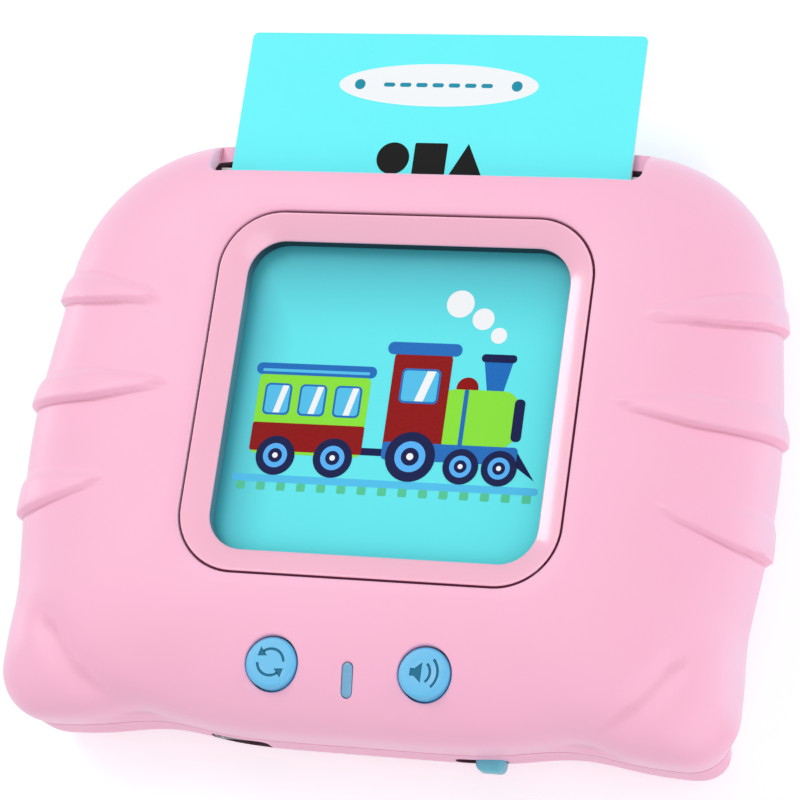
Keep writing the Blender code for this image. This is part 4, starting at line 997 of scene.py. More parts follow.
# Darker steel for the socket's shell: painted shade, as it sits back in the opening.
SOCKET_STEEL_SHADED = BrushedMetal("socket_steel_painted_shade", (0.3, 0.29, 0.31), (0.24, 0.23, 0.25), 0.4)
SCREW_STEEL = BrushedMetal("screw_steel", (0.55, 0.55, 0.57), (0.4, 0.4, 0.42), 0.38,
                           streak_size=0.15 * MM)
CREAM = Finish("cream_plastic", (0.82, 0.81, 0.77), (0.76, 0.75, 0.71), 0.5)
BLACK = Finish("black_plastic", (0.02, 0.02, 0.022), (0.03, 0.03, 0.033), 0.45,
               worn=(0.12, 0.12, 0.12))
LED_WHITE = ClearPlastic("led_resin", (0.85, 0.86, 0.8), (0.8, 0.8, 0.7), 0.3)
BOARD = BoardLacquer("board_green", (0.015, 0.2, 0.07), (0.02, 0.24, 0.085), 0.35, coat=0.4)
RIBBON = Finish("ribbon_ivory", (0.78, 0.76, 0.68), (0.7, 0.68, 0.6), 0.35)
PAPER = PressedPaper("speaker_paper", (0.045, 0.043, 0.04), (0.07, 0.066, 0.06), 0.85,
                     grain_size=0.3 * MM, grain_height=0.05 * MM, worn=(0.2, 0.19, 0.18))
FOAM = Finish("foam_grey", (0.22, 0.22, 0.23), (0.15, 0.15, 0.16), 0.95, grain_size=0.4 * MM,
              grain_height=0.08 * MM, specular=0.2)
FOIL = Finish("battery_foil", (0.66, 0.67, 0.69), (0.58, 0.59, 0.61), 0.32, metallic=0.85,
              grain_size=1.2 * MM, grain_height=0.05 * MM)
RED_WIRE = Finish("wire_red", (0.6, 0.03, 0.025), (0.5, 0.02, 0.02), 0.4)
BLACK_WIRE = Finish("wire_black", (0.02, 0.02, 0.022), (0.03, 0.03, 0.03), 0.4)
GREY_WIRE = Finish("wire_grey", (0.35, 0.35, 0.37), (0.3, 0.3, 0.32), 0.4)


class Ink(Enum):
    """Inks of the card's picture."""

    WHITE = PrintedInk("ink_white", (0.95, 0.97, 0.97), (0.9, 0.93, 0.93), 0.45)
    TEAL = PrintedInk("ink_teal", (0.012, 0.3, 0.42), (0.01, 0.25, 0.36))
    BLACK = PrintedInk("ink_black", (0.006, 0.006, 0.006), (0.012, 0.012, 0.012), mottling=0.01)
    LIME = PrintedInk("ink_lime", (0.27, 0.81, 0.045), (0.24, 0.76, 0.04))
    RED = PrintedInk("ink_red", (0.29, 0.004, 0.004), (0.25, 0.003, 0.004), mottling=0.02)
    BLUE = PrintedInk("ink_blue", (0.012, 0.16, 0.52), (0.01, 0.14, 0.46))
    GLASS = PrintedInk("ink_glass", (0.09, 0.56, 0.86), (0.08, 0.5, 0.8))
    NAVY = PrintedInk("ink_navy", (0.006, 0.011, 0.075), (0.005, 0.009, 0.06), mottling=0.02)
    HUB = PrintedInk("ink_hub", (0.1, 0.47, 0.95), (0.09, 0.42, 0.9))
    STRIP = PrintedInk("ink_strip", (0.1, 0.6, 0.32), (0.09, 0.55, 0.3))


# --------------------------------------------------------------- case's form


@dataclass(frozen=True)
class Ridge:
    """One raised ridge on the side of the front, in metres."""

    tip_x: float
    tip_y: float
    slope: float
    half_width: float


@dataclass(frozen=True)
class Facets:
    """Facets of the stretches of half the body's outline, from the top round to the bottom."""

    top: int
    shoulder: int
    side: int
    low_side: int
    paw: int
    bottom: int


@dataclass(frozen=True)
class CaseForm:
    """Form that both halves of the case share."""

    top: float = 36.5 * MM
    bottom: float = -44.6 * MM
    half_width: float = 49.7 * MM
    shoulder_radius: float = 22.0 * MM
    shoulder_ease: float = 1.5
    side_swell: float = 1.8 * MM
    side_swell_power: float = 1.2
    waist_y: float = -28.0 * MM
    paw_radius: float = 6.6 * MM
    valley_x: float = 28.0 * MM
    valley_depth: float = 1.5 * MM
    valley_width: float = 8.0 * MM
    thickness: float = 21.0 * MM
    wall: float = 2.0 * MM
    gap: float = 0.3 * MM
    seam: float = 10.0 * MM
    tongue_height: float = 1.3 * MM
    tongue_wall: float = 0.7 * MM
    edge_drop: float = 8.0 * MM
    edge_power: float = 2.5
    rear_radius: float = 6.0 * MM
    side_draft: float = 0.4
    hole_half_x: float = 26.1 * MM
    hole_half_y: float = 25.15 * MM
    hole_radius: float = 8.5 * MM
    ridges: tuple[Ridge, ...] = (
        Ridge(34.3 * MM, 12.6 * MM, 0.13, 2.5 * MM),
        Ridge(31.9 * MM, 0.5 * MM, -0.05, 2.6 * MM),
        Ridge(38.6 * MM, -13.2 * MM, -0.16, 3.1 * MM),
    )
    ridge_height: float = 1.25 * MM
    ridge_tip_share: float = 0.35
    ridge_side_share: float = 0.7
    rise_power: float = 0.7
    ridge_step: float = 0.8 * MM
    ridge_shoulder: float = 1.8 * MM
    ridge_tip_radius: float = 1.4 * MM
    ridge_growth: float = 11.0 * MM
    ridge_fade: float = 2.5 * MM
    panel_centre: Point2 = (21.0 * MM, -21.0 * MM)
    crease_radius: float = 24.3 * MM
    crease_start: Point2 = (24.0 * MM, -29.0 * MM)
    crease_fade: float = 5.0 * MM
    crease_depth: float = 1.0 * MM
    crease_width: float = 2.2 * MM
    crease_shares: Point2 = (0.25, 0.75)
    paw_swell: float = 0.35 * MM
    paw_share: float = 2.2
    search_steps: int = 20

    def side_x(self, y: float) -> float:
        """Half width at a height between the shoulder and the paw.

        Args:
            y: The height.

        Returns:
            The half width.
        """
        shoulder_y = self.top - self.shoulder_radius
        along = (shoulder_y - y) / (shoulder_y - self.waist_y)
        if along <= 0.0 or along >= 1.0:
            return self.half_width
        swell = math.sin(math.pi * along) ** self.side_swell_power
        return self.half_width + self.side_swell * swell

    def bottom_y(self, x: float) -> float:
        """Lower edge, with its shallow valleys between chin and paws."""
        away = (abs(x) - self.valley_x) / self.valley_width
        return self.bottom + self.valley_depth * math.exp(-away * away)

    def outline(self, facets: Facets) -> Outline:
        """Closed outline of the body, clockwise from the top's middle.

        Args:
            facets: Facets of its stretches.

        Returns:
            The points.
        """
        shoulder = (self.half_width - self.shoulder_radius, self.top - self.shoulder_radius)
        last = self.ridges[-1]
        paw_x = self.half_width - self.paw_radius
        paw = (paw_x, self.bottom_y(paw_x) + self.paw_radius)
        right = [(shoulder[0] * i / facets.top, self.top) for i in range(facets.top)]
        for i in range(facets.shoulder):
            angle = math.pi / 2 * (1 - i / facets.shoulder) ** self.shoulder_ease
            right.append(polar(shoulder, self.shoulder_radius, angle))
        stops = (shoulder[1], last.tip_y - self.paw_share * last.half_width, paw[1])
        for start, end, count in zip(stops, stops[1:], (facets.side, facets.low_side)):
            for i in range(count):
                y = start + (end - start) * i / count
                right.append((self.side_x(y), y))
        for i in range(facets.paw):
            right.append(polar(paw, self.paw_radius, -math.pi / 2 * i / facets.paw))
        for i in range(facets.bottom + 1):
            x = paw_x * (1 - i / facets.bottom)
            right.append((x, self.bottom_y(x)))
        return right + [(-x, y) for x, y in reversed(right[1:-1])]

    def lean(self, normal: Point2, z: float) -> float:
        """How far a wall leans in at a height; only the walls at the sides do."""
        depth = self.thickness - self.edge_drop - max(z, self.rear_radius)
        return self.side_draft * max(depth, 0.0) * normal[0] ** 4

    def wall_outline(self, points: Outline, z: float, inset: float = 0.0) -> Outline:
        """The body's outline at a height of the wall, moved inwards by an inset.

        Args:
            points: The body's outline.
            z: The height.
            inset: Distance inwards.

        Returns:
            The outline at that height.
        """
        level = []
        for (x, y), normal in zip(points, outline_normals(points)):
            distance = inset + self.lean(normal, z)
            level.append((x - normal[0] * distance, y - normal[1] * distance))
        return level

    def hole_point(self, x: float, y: float, spare: float = 0.0) -> Point2:
        """Point of the window hole in the direction of (x, y), with a spare distance outside it.

        Args:
            x: Place across.
            y: Place along.
            spare: Distance outside the hole.

        Returns:
            The point.
        """
        length = math.hypot(x, y)
        across = abs(x) / length
        up = abs(y) / length
        corner_x = self.hole_half_x - self.hole_radius
        corner_y = self.hole_half_y - self.hole_radius
        if across > 0 and self.hole_half_x * up / across <= corner_y:
            reach = self.hole_half_x / across
        elif up > 0 and self.hole_half_y * across / up <= corner_x:
            reach = self.hole_half_y / up
        else:
            middle = across * corner_x + up * corner_y
            rest = middle * middle - corner_x ** 2 - corner_y ** 2 + self.hole_radius ** 2
            reach = middle + math.sqrt(max(rest, 0.0))
        return x / length * (reach + spare), y / length * (reach + spare)

    def curve(self, angle: float) -> Point2:
        """Share of the way out and of the fall at an angle of the face's curve."""
        power = 2 / self.edge_power
        return math.sin(angle) ** power, 1 - math.cos(angle) ** power

    def face_z(self, x: float, y: float, depth: float = 0.0) -> float:
        """Height of the front below the window, or of a face at a depth inside it.

        Args:
            x: Place across.
            y: Place along.
            depth: Distance inside the front.

        Returns:
            The height of that face.
        """
        length = math.hypot(x, y)
        start = math.hypot(*self.hole_point(x, y))
        end = start
        for _ in range(self.search_steps):
            end = (self.bottom_y(x / length * end) + depth) / (y / length)
        share = min((length - start) / (end - start), 1.0)
        fall = 1 - (1 - share ** self.edge_power) ** (1 / self.edge_power)
        return self.thickness - depth - (self.edge_drop - depth) * fall

    def ridge_rise(self, x: float, y: float) -> float:
        """Height of the side ridges over the plain shell.

        Args:
            x: Place across.
            y: Place along.

        Returns:
            The rise.
        """
        height = 0.0
        for ridge in self.ridges:
            along = abs(x) - ridge.tip_x
            if along <= 0:
                continue
            centre = ridge.tip_y + ridge.slope * along
            growth = smooth_step(along / self.ridge_growth)
            half = self.ridge_tip_radius + (ridge.half_width - self.ridge_tip_radius) * growth
            half *= math.sqrt(min(along / self.ridge_tip_radius, 1.0))
            from_lower = y - (centre - half)
            from_upper = (centre + half) - y
            if from_lower <= 0 or from_upper <= 0:
                continue
            lower_flank = smooth_step(from_lower / self.ridge_step)
            upper_flank = (smooth_step(from_upper / min(self.ridge_shoulder, half))
                           + smooth_step(from_upper / (2 * half - self.ridge_step))) / 2
            rise = self.ridge_height * (self.ridge_tip_share + (1 - self.ridge_tip_share) * growth)
            height = max(height, rise * lower_flank * upper_flank)
        return height

    def paw_rise(self, x: float, y: float, share: float) -> float:
        """Swell of the paw, less the crease round it.

        Args:
            x: Place across.
            y: Place along.
            share: Share of the way from the window to the outline.

        Returns:
            The rise, below 0 in the crease.
        """
        corner = (smooth_step((abs(x) - self.crease_start[0]) / self.crease_fade)
                  * smooth_step((self.crease_start[1] - y) / self.crease_fade))
        if corner <= 0.0:
            return 0.0
        away = math.hypot(abs(x) - self.panel_centre[0], y - self.panel_centre[1])
        past = (away - self.crease_radius) / self.crease_width
        start, end = self.crease_shares
        crease = math.exp(-past ** 2) * smooth_step((share - start) / (end - start))
        return corner * (self.paw_swell * smooth_step(past / 4) - self.crease_depth * crease)

    def relief(self, x: float, y: float, share: float, above_seam: float) -> float:
        """Height of ridges and paws, running out at the seam."""
        fade = smooth_step(above_seam / self.ridge_fade)
        return (self.ridge_rise(x, y) + self.paw_rise(x, y, share)) * fade


def between(start: Point2, end: Point2, share: float) -> Point2:
    """Point at a share of the way between two points."""
    return start[0] + (end[0] - start[0]) * share, start[1] + (end[1] - start[1]) * share


def smooth_step(value: float) -> float:
    """Smooth step from 0 to 1."""
    value = min(max(value, 0.0), 1.0)
    return value * value * (3 - 2 * value)


def kept_inside(mesh: Mesh, node: str) -> None:
    """Keep a mesh within a node's box, where finer facets would reach past it.

    Args:
        mesh: The mesh.
        node: The node.
    """
    low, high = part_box(node)
    for vert in mesh.verts:
        for axis in range(3):
            vert.co[axis] = min(max(vert.co[axis], low[axis]), high[axis])


# ---------------------------------------------------------------- front case


@dataclass
class FrontCase:
    """Front half: pillowed face with ridges, paws, card slot, button holes and lens slot."""

    form: CaseForm
    facets: Facets = Facets(14, 46, 110, 14, 14, 36)
    face_rings: int = 38
    wall_rings: int = 6
    inner_rings: int = 10
    hole_fillet: float = 0.3 * MM
    hole_turns: tuple[float, ...] = (0.0, 0.3, 0.6)
    lip_fillet: float = 0.28 * MM
    lip_shares: tuple[float, ...] = (1.0, 0.6, 0.3, 0.1, 0.0)
    slot_half_width: float = 30.2 * MM
    slot_corner: float = 1.4 * MM
    slot_lip_y: float = 31.0 * MM
    slot_low: float = 15.5 * MM
    slot_beyond: float = 3.0 * MM
    slot_stretch: float = 1.2 * MM
    cutter_past: float = 0.02 * MM
    button_radius: float = BUTTON_RADIUS
    button_low: float = 12.0 * MM
    button_gap: float = 0.2 * MM
    lens_half: Point2 = (0.65 * MM, 2.15 * MM)
    lens_gap: float = 0.12 * MM
    post_radius: float = 3.0 * MM
    post_low: float = 9.0 * MM
    post_sink: float = 0.1 * MM
    pilot_radius: float = SHANK_HOLE_RADIUS
    skin: BVHTree | None = field(default=None, init=False)

    def outer_rings(self, points: Outline) -> list[list[Point3]]:
        """Rings of the outside, from the window hole to the seam.

        Args:
            points: The body's outline.

        Returns:
            The rings, each with one point for each point of the outline.
        """
        form = self.form
        normals = outline_normals(points)
        rings = []
        for step in range(self.face_rings + 1):
            angle = math.pi / 2 * step / self.face_rings
            share, fall = form.curve(angle)
            z = form.thickness - form.edge_drop * fall
            loop = []
            for point, normal in zip(points, normals):
                x, y = between(form.hole_point(*point, self.hole_fillet), point, share)
                raised = form.relief(x, y, share, z - form.seam)
                outwards = form.ridge_side_share * raised * math.sin(angle) ** 2
                loop.append((x + normal[0] * outwards, y + normal[1] * outwards,
                             z + raised * math.cos(angle) ** form.rise_power))
            rings.append(loop)
        wall_top = form.thickness - form.edge_drop
        for step in range(1, self.wall_rings + 1):
            z = wall_top + (form.seam - wall_top) * step / self.wall_rings
            loop = []
            for (x, y), normal in zip(points, normals):
                raised = form.relief(x, y, 1.0, z - form.seam)
                outwards = form.ridge_side_share * raised - form.lean(normal, z)
                loop.append((x + normal[0] * outwards, y + normal[1] * outwards, z))
            rings.append(loop)
        return rings

    def inside_rings(self, points: Outline) -> list[list[Point3]]:
        """Rings of the inside, from the seam's rebate back to the window hole's fillet.

        Args:
            points: The body's outline.

        Returns:
            The rings, each with one point for each point of the outline.
        """
        form = self.form
        rebate = form.wall_outline(points, form.seam, form.wall - form.tongue_wall - form.gap)
        foot = form.wall_outline(points, form.seam, form.wall)
        inner = form.wall_outline(points, form.thickness - form.edge_drop, form.wall)
        rebate_z = form.seam + form.tongue_height
        rings = [level_ring(rebate, form.seam), level_ring(rebate, rebate_z),
                 level_ring(foot, rebate_z)]
        for step in range(self.inner_rings, -1, -1):
            share, fall = form.curve(math.pi / 2 * step / self.inner_rings)
            z = form.thickness - form.wall - (form.edge_drop - form.wall) * fall
            rings.append(level_ring([between(form.hole_point(*point), end, share)
                                     for point, end in zip(points, inner)], z))
        for turn in self.hole_turns:
            angle = math.pi / 2 * turn
            out = self.hole_fillet * (1 - math.cos(angle))
            z = form.thickness - self.hole_fillet * (1 - math.sin(angle))
            rings.append(level_ring([form.hole_point(*point, out) for point in points], z))
        return rings

    def height(self, x: float, y: float) -> float:
        """Height of the finished face over a place."""
        y = min(y, self.form.top - self.lip_fillet)
        hit = self.skin.ray_cast(Vector((x, y, 2 * self.form.thickness)), Vector((0, 0, -1)))
        return hit[0].z if hit[0] else self.form.thickness - self.form.edge_drop

    def lipped_cutter(self, outline: Outline, low: float, into: Mesh) -> None:
        """Add a cutter whose opening has a rounded lip that follows the face.

        Args:
            outline: Outline of the opening, anticlockwise.
            low: Where the cutter starts.
            into: Mesh that gets the cutter.
        """
        fillet = self.lip_fillet
        rings = [level_ring(outline, low)]
        for share in self.lip_shares:
            out = fillet - math.sqrt(fillet ** 2 - (fillet * (1 - share)) ** 2)
            floor = low + fillet * (1.5 - share)
            rings.append([(x, y, max(self.height(x, y) - fillet * share + self.cutter_past, floor))
                          for x, y in grown(outline, out)])
        rings.append(level_ring(grown(outline, fillet), 1.5 * self.form.thickness))
        loft(rings, into=into)

    def openings(self) -> Mesh:
        """Cutters of the card slot, the button holes and the lens slot.

        Returns:
            One mesh with all of them.
        """
        holes = bmesh.new()
        middle_y = (self.slot_lip_y + self.form.top + self.slot_beyond) / 2
        slot = rounded_rectangle(self.slot_half_width, middle_y - self.slot_lip_y,
                                 self.slot_corner, 6, (0.0, middle_y))
        self.lipped_cutter(divided(slot, self.slot_stretch), self.slot_low, holes)
        for node in ("repeat_button", "volume_button"):
            hole = circle(self.button_radius + self.button_gap, 64, middle_of(node)[:2])
            self.lipped_cutter(hole, self.button_low, holes)
        half_x, half_y = (half + self.lens_gap for half in self.lens_half)
        lens = rounded_rectangle(half_x, half_y, half_x - HAIR, 8, middle_of(LENS_NODE)[:2])
        self.lipped_cutter(lens, self.button_low, holes)
        return holes

    def posts(self) -> Mesh:
        """Posts that the case screws bite into.

        Returns:
            One mesh with all four.
        """
        posts = bmesh.new()
        for node in SCREW_NODES:
            prism(circle(self.post_radius, 32, middle_of(node)[:2]), self.post_low,
                  self.form.thickness - self.form.wall + self.post_sink, posts)
        return posts

    def pilots(self) -> Mesh:
        """Cutters of the holes in the posts.

        Returns:
            One mesh with all four.
        """
        holes = bmesh.new()
        for node in SCREW_NODES:
            prism(circle(self.pilot_radius, 24, middle_of(node)[:2]), self.post_low - MM,
                  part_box(node)[1][2] + self.form.gap, holes)
        return holes

    def build(self) -> None:
        """Make the front case."""
        points = self.form.outline(self.facets)
        mesh = loft(self.outer_rings(points) + self.inside_rings(points), closed=True)
        kept_inside(mesh, "front_shell")
        self.skin = BVHTree.FromBMesh(mesh)
        case = make_piece("front_case", mesh, SOFT_EDGE)
        carve(case, self.openings(), sharp=SOFT_EDGE)
        carve(case, self.posts(), "UNION", SOFT_EDGE)
        carve(case, self.pilots(), sharp=SOFT_EDGE)
        publish(case, [CASE_PINK], Body.CASE, Slot.CASE, "front_shell")


def divided(points: Outline, longest: float) -> Outline:
    """An outline with more points on its stretches, none of them longer than a length.

    Args:
        points: The outline.
        longest: Length that no stretch exceeds.

    Returns:
        The outline with more points on the same line.
    """
    result: Outline = []
    for i, (x, y) in enumerate(points):
        next_x, next_y = points[(i + 1) % len(points)]
        count = max(1, math.ceil(math.hypot(next_x - x, next_y - y) / longest))
        result += [(x + (next_x - x) * step / count, y + (next_y - y) * step / count)
                   for step in range(count)]
    return result


# ----------------------------------------------------------------- rear case


@dataclass
class RearCase:
    """Back half: rounded edge, speaker grille, screw wells and the two wall openings."""

    form: CaseForm
    facets: Facets = Facets(8, 36, 30, 8, 14, 36)
    edge_steps: int = 8
    well_depth: float = 5.0 * MM
    well_radius: float = 2.9 * MM
    well_wall: float = 1.3 * MM
    shank_radius: float = SHANK_HOLE_RADIUS
    post_end: float = 8.7 * MM
    chamfer: float = 0.25 * MM
    hole_radius: float = 1.0 * MM
    hole_pitch: float = 4.2 * MM
    hole_rings: int = 2
    mouth_radius: float = 0.9 * MM
    lining_tilt: float = 0.6

    def edge_rings(self, points: Outline, inset: float, radius: float) -> list[list[Point3]]:
        """Rings of a rounded edge, from its flat face up.

        Args:
            points: The body's outline.
            inset: Distance of the edge inside the body's skin.
            radius: Radius of the edge.

        Returns:
            The rings.
        """
        rings = []
        for i in range(self.edge_steps + 1):
            angle = math.pi / 2 * (1 - i / self.edge_steps)
            z = inset + radius * (1 - math.sin(angle))
            outline = self.form.wall_outline(points, z, inset + radius * (1 - math.cos(angle)))
            rings.append(level_ring(outline, z))
        return rings

    def rings(self, points: Outline) -> list[list[Point3]]:
        """Rings from the back face over the rim and the tongue to the floor.

        Args:
            points: The body's outline.

        Returns:
            The rings, each with one point for each point of the outline.
        """
        form = self.form
        rim = form.seam - form.gap
        tongue = form.wall_outline(points, form.seam, form.wall - form.tongue_wall)
        inside = form.wall_outline(points, form.seam, form.wall)
        tongue_z = form.seam + form.tongue_height - form.gap
        return [*self.edge_rings(points, 0.0, form.rear_radius),
                level_ring(form.wall_outline(points, rim), rim), level_ring(tongue, rim),
                level_ring(tongue, tongue_z), level_ring(inside, tongue_z),
                *reversed(self.edge_rings(points, form.wall, form.rear_radius - form.wall))]

    def grille(self) -> list[Point2]:
        """Middles of the grille holes, in a hexagonal pattern.

        Returns:
            The places.
        """
        x, y, _ = middle_of("speaker_basket")
        places = []
        for row in range(-self.hole_rings, self.hole_rings + 1):
            count = 2 * self.hole_rings + 1 - abs(row)
            places += [(x + (i - (count - 1) / 2) * self.hole_pitch,
                        y + row * self.hole_pitch * math.sqrt(3) / 2) for i in range(count)]
        return places

    def wall_opening(self, node: str, spare: float, travel: float, holes: Mesh) -> None:
        """Add a cutter through the lower wall for a node.

        Args:
            node: What comes through.
            spare: Room on each side of it.
            travel: How far it slides towards -X.
            holes: Mesh that gets the cutter.
        """
        low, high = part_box(node)
        x = (low[0] + high[0] - travel) / 2
        z = (low[2] + high[2]) / 2
        half_x = (high[0] - low[0] + travel) / 2 + spare
        half_z = (high[2] - low[2]) / 2 + spare
        hole, mouth = (rounded_rectangle(half_x + more, half_z + more, self.mouth_radius + more, 6,
                                         (x, z)) for more in (0.0, self.chamfer))
        wall = self.form.bottom_y(x)
        laid_along_y([(mouth, wall - 3 * MM), (mouth, wall - 0.6 * self.chamfer),
                      (hole, wall + self.chamfer), (hole, wall + self.form.wall + MM)], holes)

    def openings(self) -> Mesh:
        """Cutters of the wells, the grille and the wall openings.

        Returns:
            One mesh with all of them.
        """
        holes = bmesh.new()
        well = [(self.well_radius, self.well_depth), (self.shank_radius, self.well_depth),
                (self.shank_radius, self.post_end + MM)]
        bores = [(middle_of(node)[:2], self.well_radius, well, 40) for node in SCREW_NODES]
        grille_end = [(self.hole_radius, self.form.wall + MM)]
        bores += [(place, self.hole_radius, grille_end, 24) for place in self.grille()]
        for place, radius, inside, steps in bores:
            flared = radius + self.chamfer
            mouth = [(flared, -MM), (flared, 0.0), (radius, self.chamfer)]
            turned(mouth + inside, steps, place, into=holes)
        self.wall_opening("usb_socket", self.form.gap, 0.0, holes)
        self.wall_opening("power_knob", self.form.gap - KNOB_FLANGE, KNOB_TRAVEL, holes)
        return holes

    def in_wall_opening(self, face: bpy.types.MeshPolygon) -> bool:
        """Whether a face lines one of the two openings in the lower wall, which get painted shade.

        Args:
            face: Face of the finished mesh.

        Returns:
            Whether it does.
        """
        x, y, z = face.center
        if y > self.form.bottom + 2 * self.form.wall or abs(face.normal.y) > self.lining_tilt:
            return False
        for node, travel in (("usb_socket", 0.0), ("power_knob", KNOB_TRAVEL)):
            low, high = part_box(node)
            if low[0] - travel - MM < x < high[0] + MM and low[2] - MM < z < high[2] + MM:
                return True
        return False

    def wells(self) -> Mesh:
        """Solid bosses round the wells.

        Returns:
            One mesh with all four.
        """
        bosses = bmesh.new()
        for node in SCREW_NODES:
            prism(circle(self.well_radius + self.well_wall, 32, middle_of(node)[:2]),
                  self.form.wall / 2, self.post_end, bosses)
        return bosses

    def build(self) -> None:
        """Make the rear case."""
        mesh = loft(self.rings(self.form.outline(self.facets)))
        kept_inside(mesh, "rear_shell")
        case = make_piece("rear_case", mesh)
        carve(case, self.wells(), "UNION")
        carve(case, self.openings())
        # Faces lining the wall openings get painted shade.
        for face in case.data.polygons:
            face.material_index = int(self.in_wall_opening(face))
        publish(case, [BACK_PINK, OPENING_SHADE], Body.CASE, Slot.CASE_BACK, "rear_shell")


# -------------------------------------------------------------------- window


@dataclass
class WindowBezel:
    """Sloping ring round the window, with soft edges and a flange behind the front."""

    form: CaseForm
    half_x: float = 22.4 * MM
    half_y: float = 21.45 * MM
    radius: float = 5.0 * MM
    width: float = 3.4 * MM
    outer_radius: float = 8.2 * MM
    drop: float = 2.0 * MM
    inner_wall: float = 1.2 * MM
    flange: float = 2.4 * MM
    flange_thickness: float = 1.0 * MM
    edge: float = 0.35 * MM
    foot_z: float = 17.0 * MM
    foot_edge: float = 0.1 * MM
    joint_depth: float = 0.7 * MM
    joint_fill: float = 0.25 * MM

    def corner_radius(self, reach: float) -> float:
        """Corner radius of the ring at a distance outside the window."""
        if reach > self.width:
            return self.outer_radius + reach - self.width
        return self.radius + (self.outer_radius - self.radius) * reach / self.width

    def finish_index(self, face: bpy.types.MeshPolygon) -> int:
        """Which finish a face takes: 0 ring, 1 painted shade on the wall inside the window, 2
        painted shade in the joint round the ring.

        Args:
            face: Face of the finished mesh.

        Returns:
            Place of the finish in the bezel's list.
        """
        top = self.form.thickness
        x, y, z = face.center
        if abs(x) < self.half_x + self.edge and abs(y) < self.half_y + self.edge:
            return 1 if z < top - self.drop - self.edge else 0
        # Walls and floor of the joint get painted shade.
        on_side = abs(face.normal.z) < 0.5 and z < top - self.edge / 2
        on_floor = face.normal.z > 0.95 and abs(z - (top - self.joint_depth)) < 0.05 * MM
        return 2 if on_side or on_floor else 0

    def build(self) -> None:
        """Make the bezel."""
        top = self.form.thickness
        flange_top = top - self.form.wall - self.form.gap
        flange_under = flange_top - self.flange_thickness
        joint_floor = top - self.joint_depth
        filled = self.width + self.joint_fill
        flange = self.width + self.flange
        corners = (
            (self.width, top, self.edge), (0.0, top - self.drop, self.edge),
            (0.0, self.foot_z, self.foot_edge), (self.inner_wall, self.foot_z, self.foot_edge),
            (self.inner_wall, flange_under, 0.0), (flange, flange_under, 0.0),
            (flange, flange_top, 0.0), (filled, flange_top, 0.0), (filled, joint_floor, 0.0),
            (self.width, joint_floor, 0.0),
        )
        rings = [level_ring(rounded_rectangle(self.half_x + reach, self.half_y + reach,
                                              self.corner_radius(reach), 14), z)
                 for reach, z in filleted(corners, 5)]
        bezel = make_piece("window_bezel", loft(rings, closed=True), SOFT_EDGE)
        for face in bezel.data.polygons:
            face.material_index = self.finish_index(face)
        publish(bezel, [BEZEL_PINK, BEZEL_WALL_SHADE, JOINT_SHADE], Body.CASE, Slot.BEZEL, "window_frame")


# ---------------------------------------------------------------------- card


@dataclass(frozen=True)
class Stamp:
    """One flat shape of the picture, in millimetres from the window's middle."""

    outline: Outline
    ink: Ink

    def meets(self, other: Stamp) -> bool:
        """Whether the boxes round two shapes overlap.

        Args:
            other: The other shape.

        Returns:
            Whether they do.
        """
        for axis in (0, 1):
            mine = [point[axis] for point in self.outline]
            theirs = [point[axis] for point in other.outline]
            if min(mine) > max(theirs) or min(theirs) > max(mine):
                return False
        return True


def stacked(stamps: Sequence[Stamp]) -> list[int]:
    """Level of each shape, one above every earlier shape that it meets.

    Args:
        stamps: The shapes, from the lowest up.

    Returns:
        The levels, from 1.
    """
    levels: list[int] = []
    for i, stamp in enumerate(stamps):
        under = [level for level, other in zip(levels, stamps[:i]) if stamp.meets(other)]
        levels.append(1 + max(under, default=0))
    return levels


def bar(low_x: float, low_y: float, high_x: float, high_y: float, radius: float = 0.3) -> Outline:
    """Rounded bar between two corners."""
    return rounded_rectangle((high_x - low_x) / 2, (high_y - low_y) / 2, radius, 5,
                             ((low_x + high_x) / 2, (low_y + high_y) / 2))


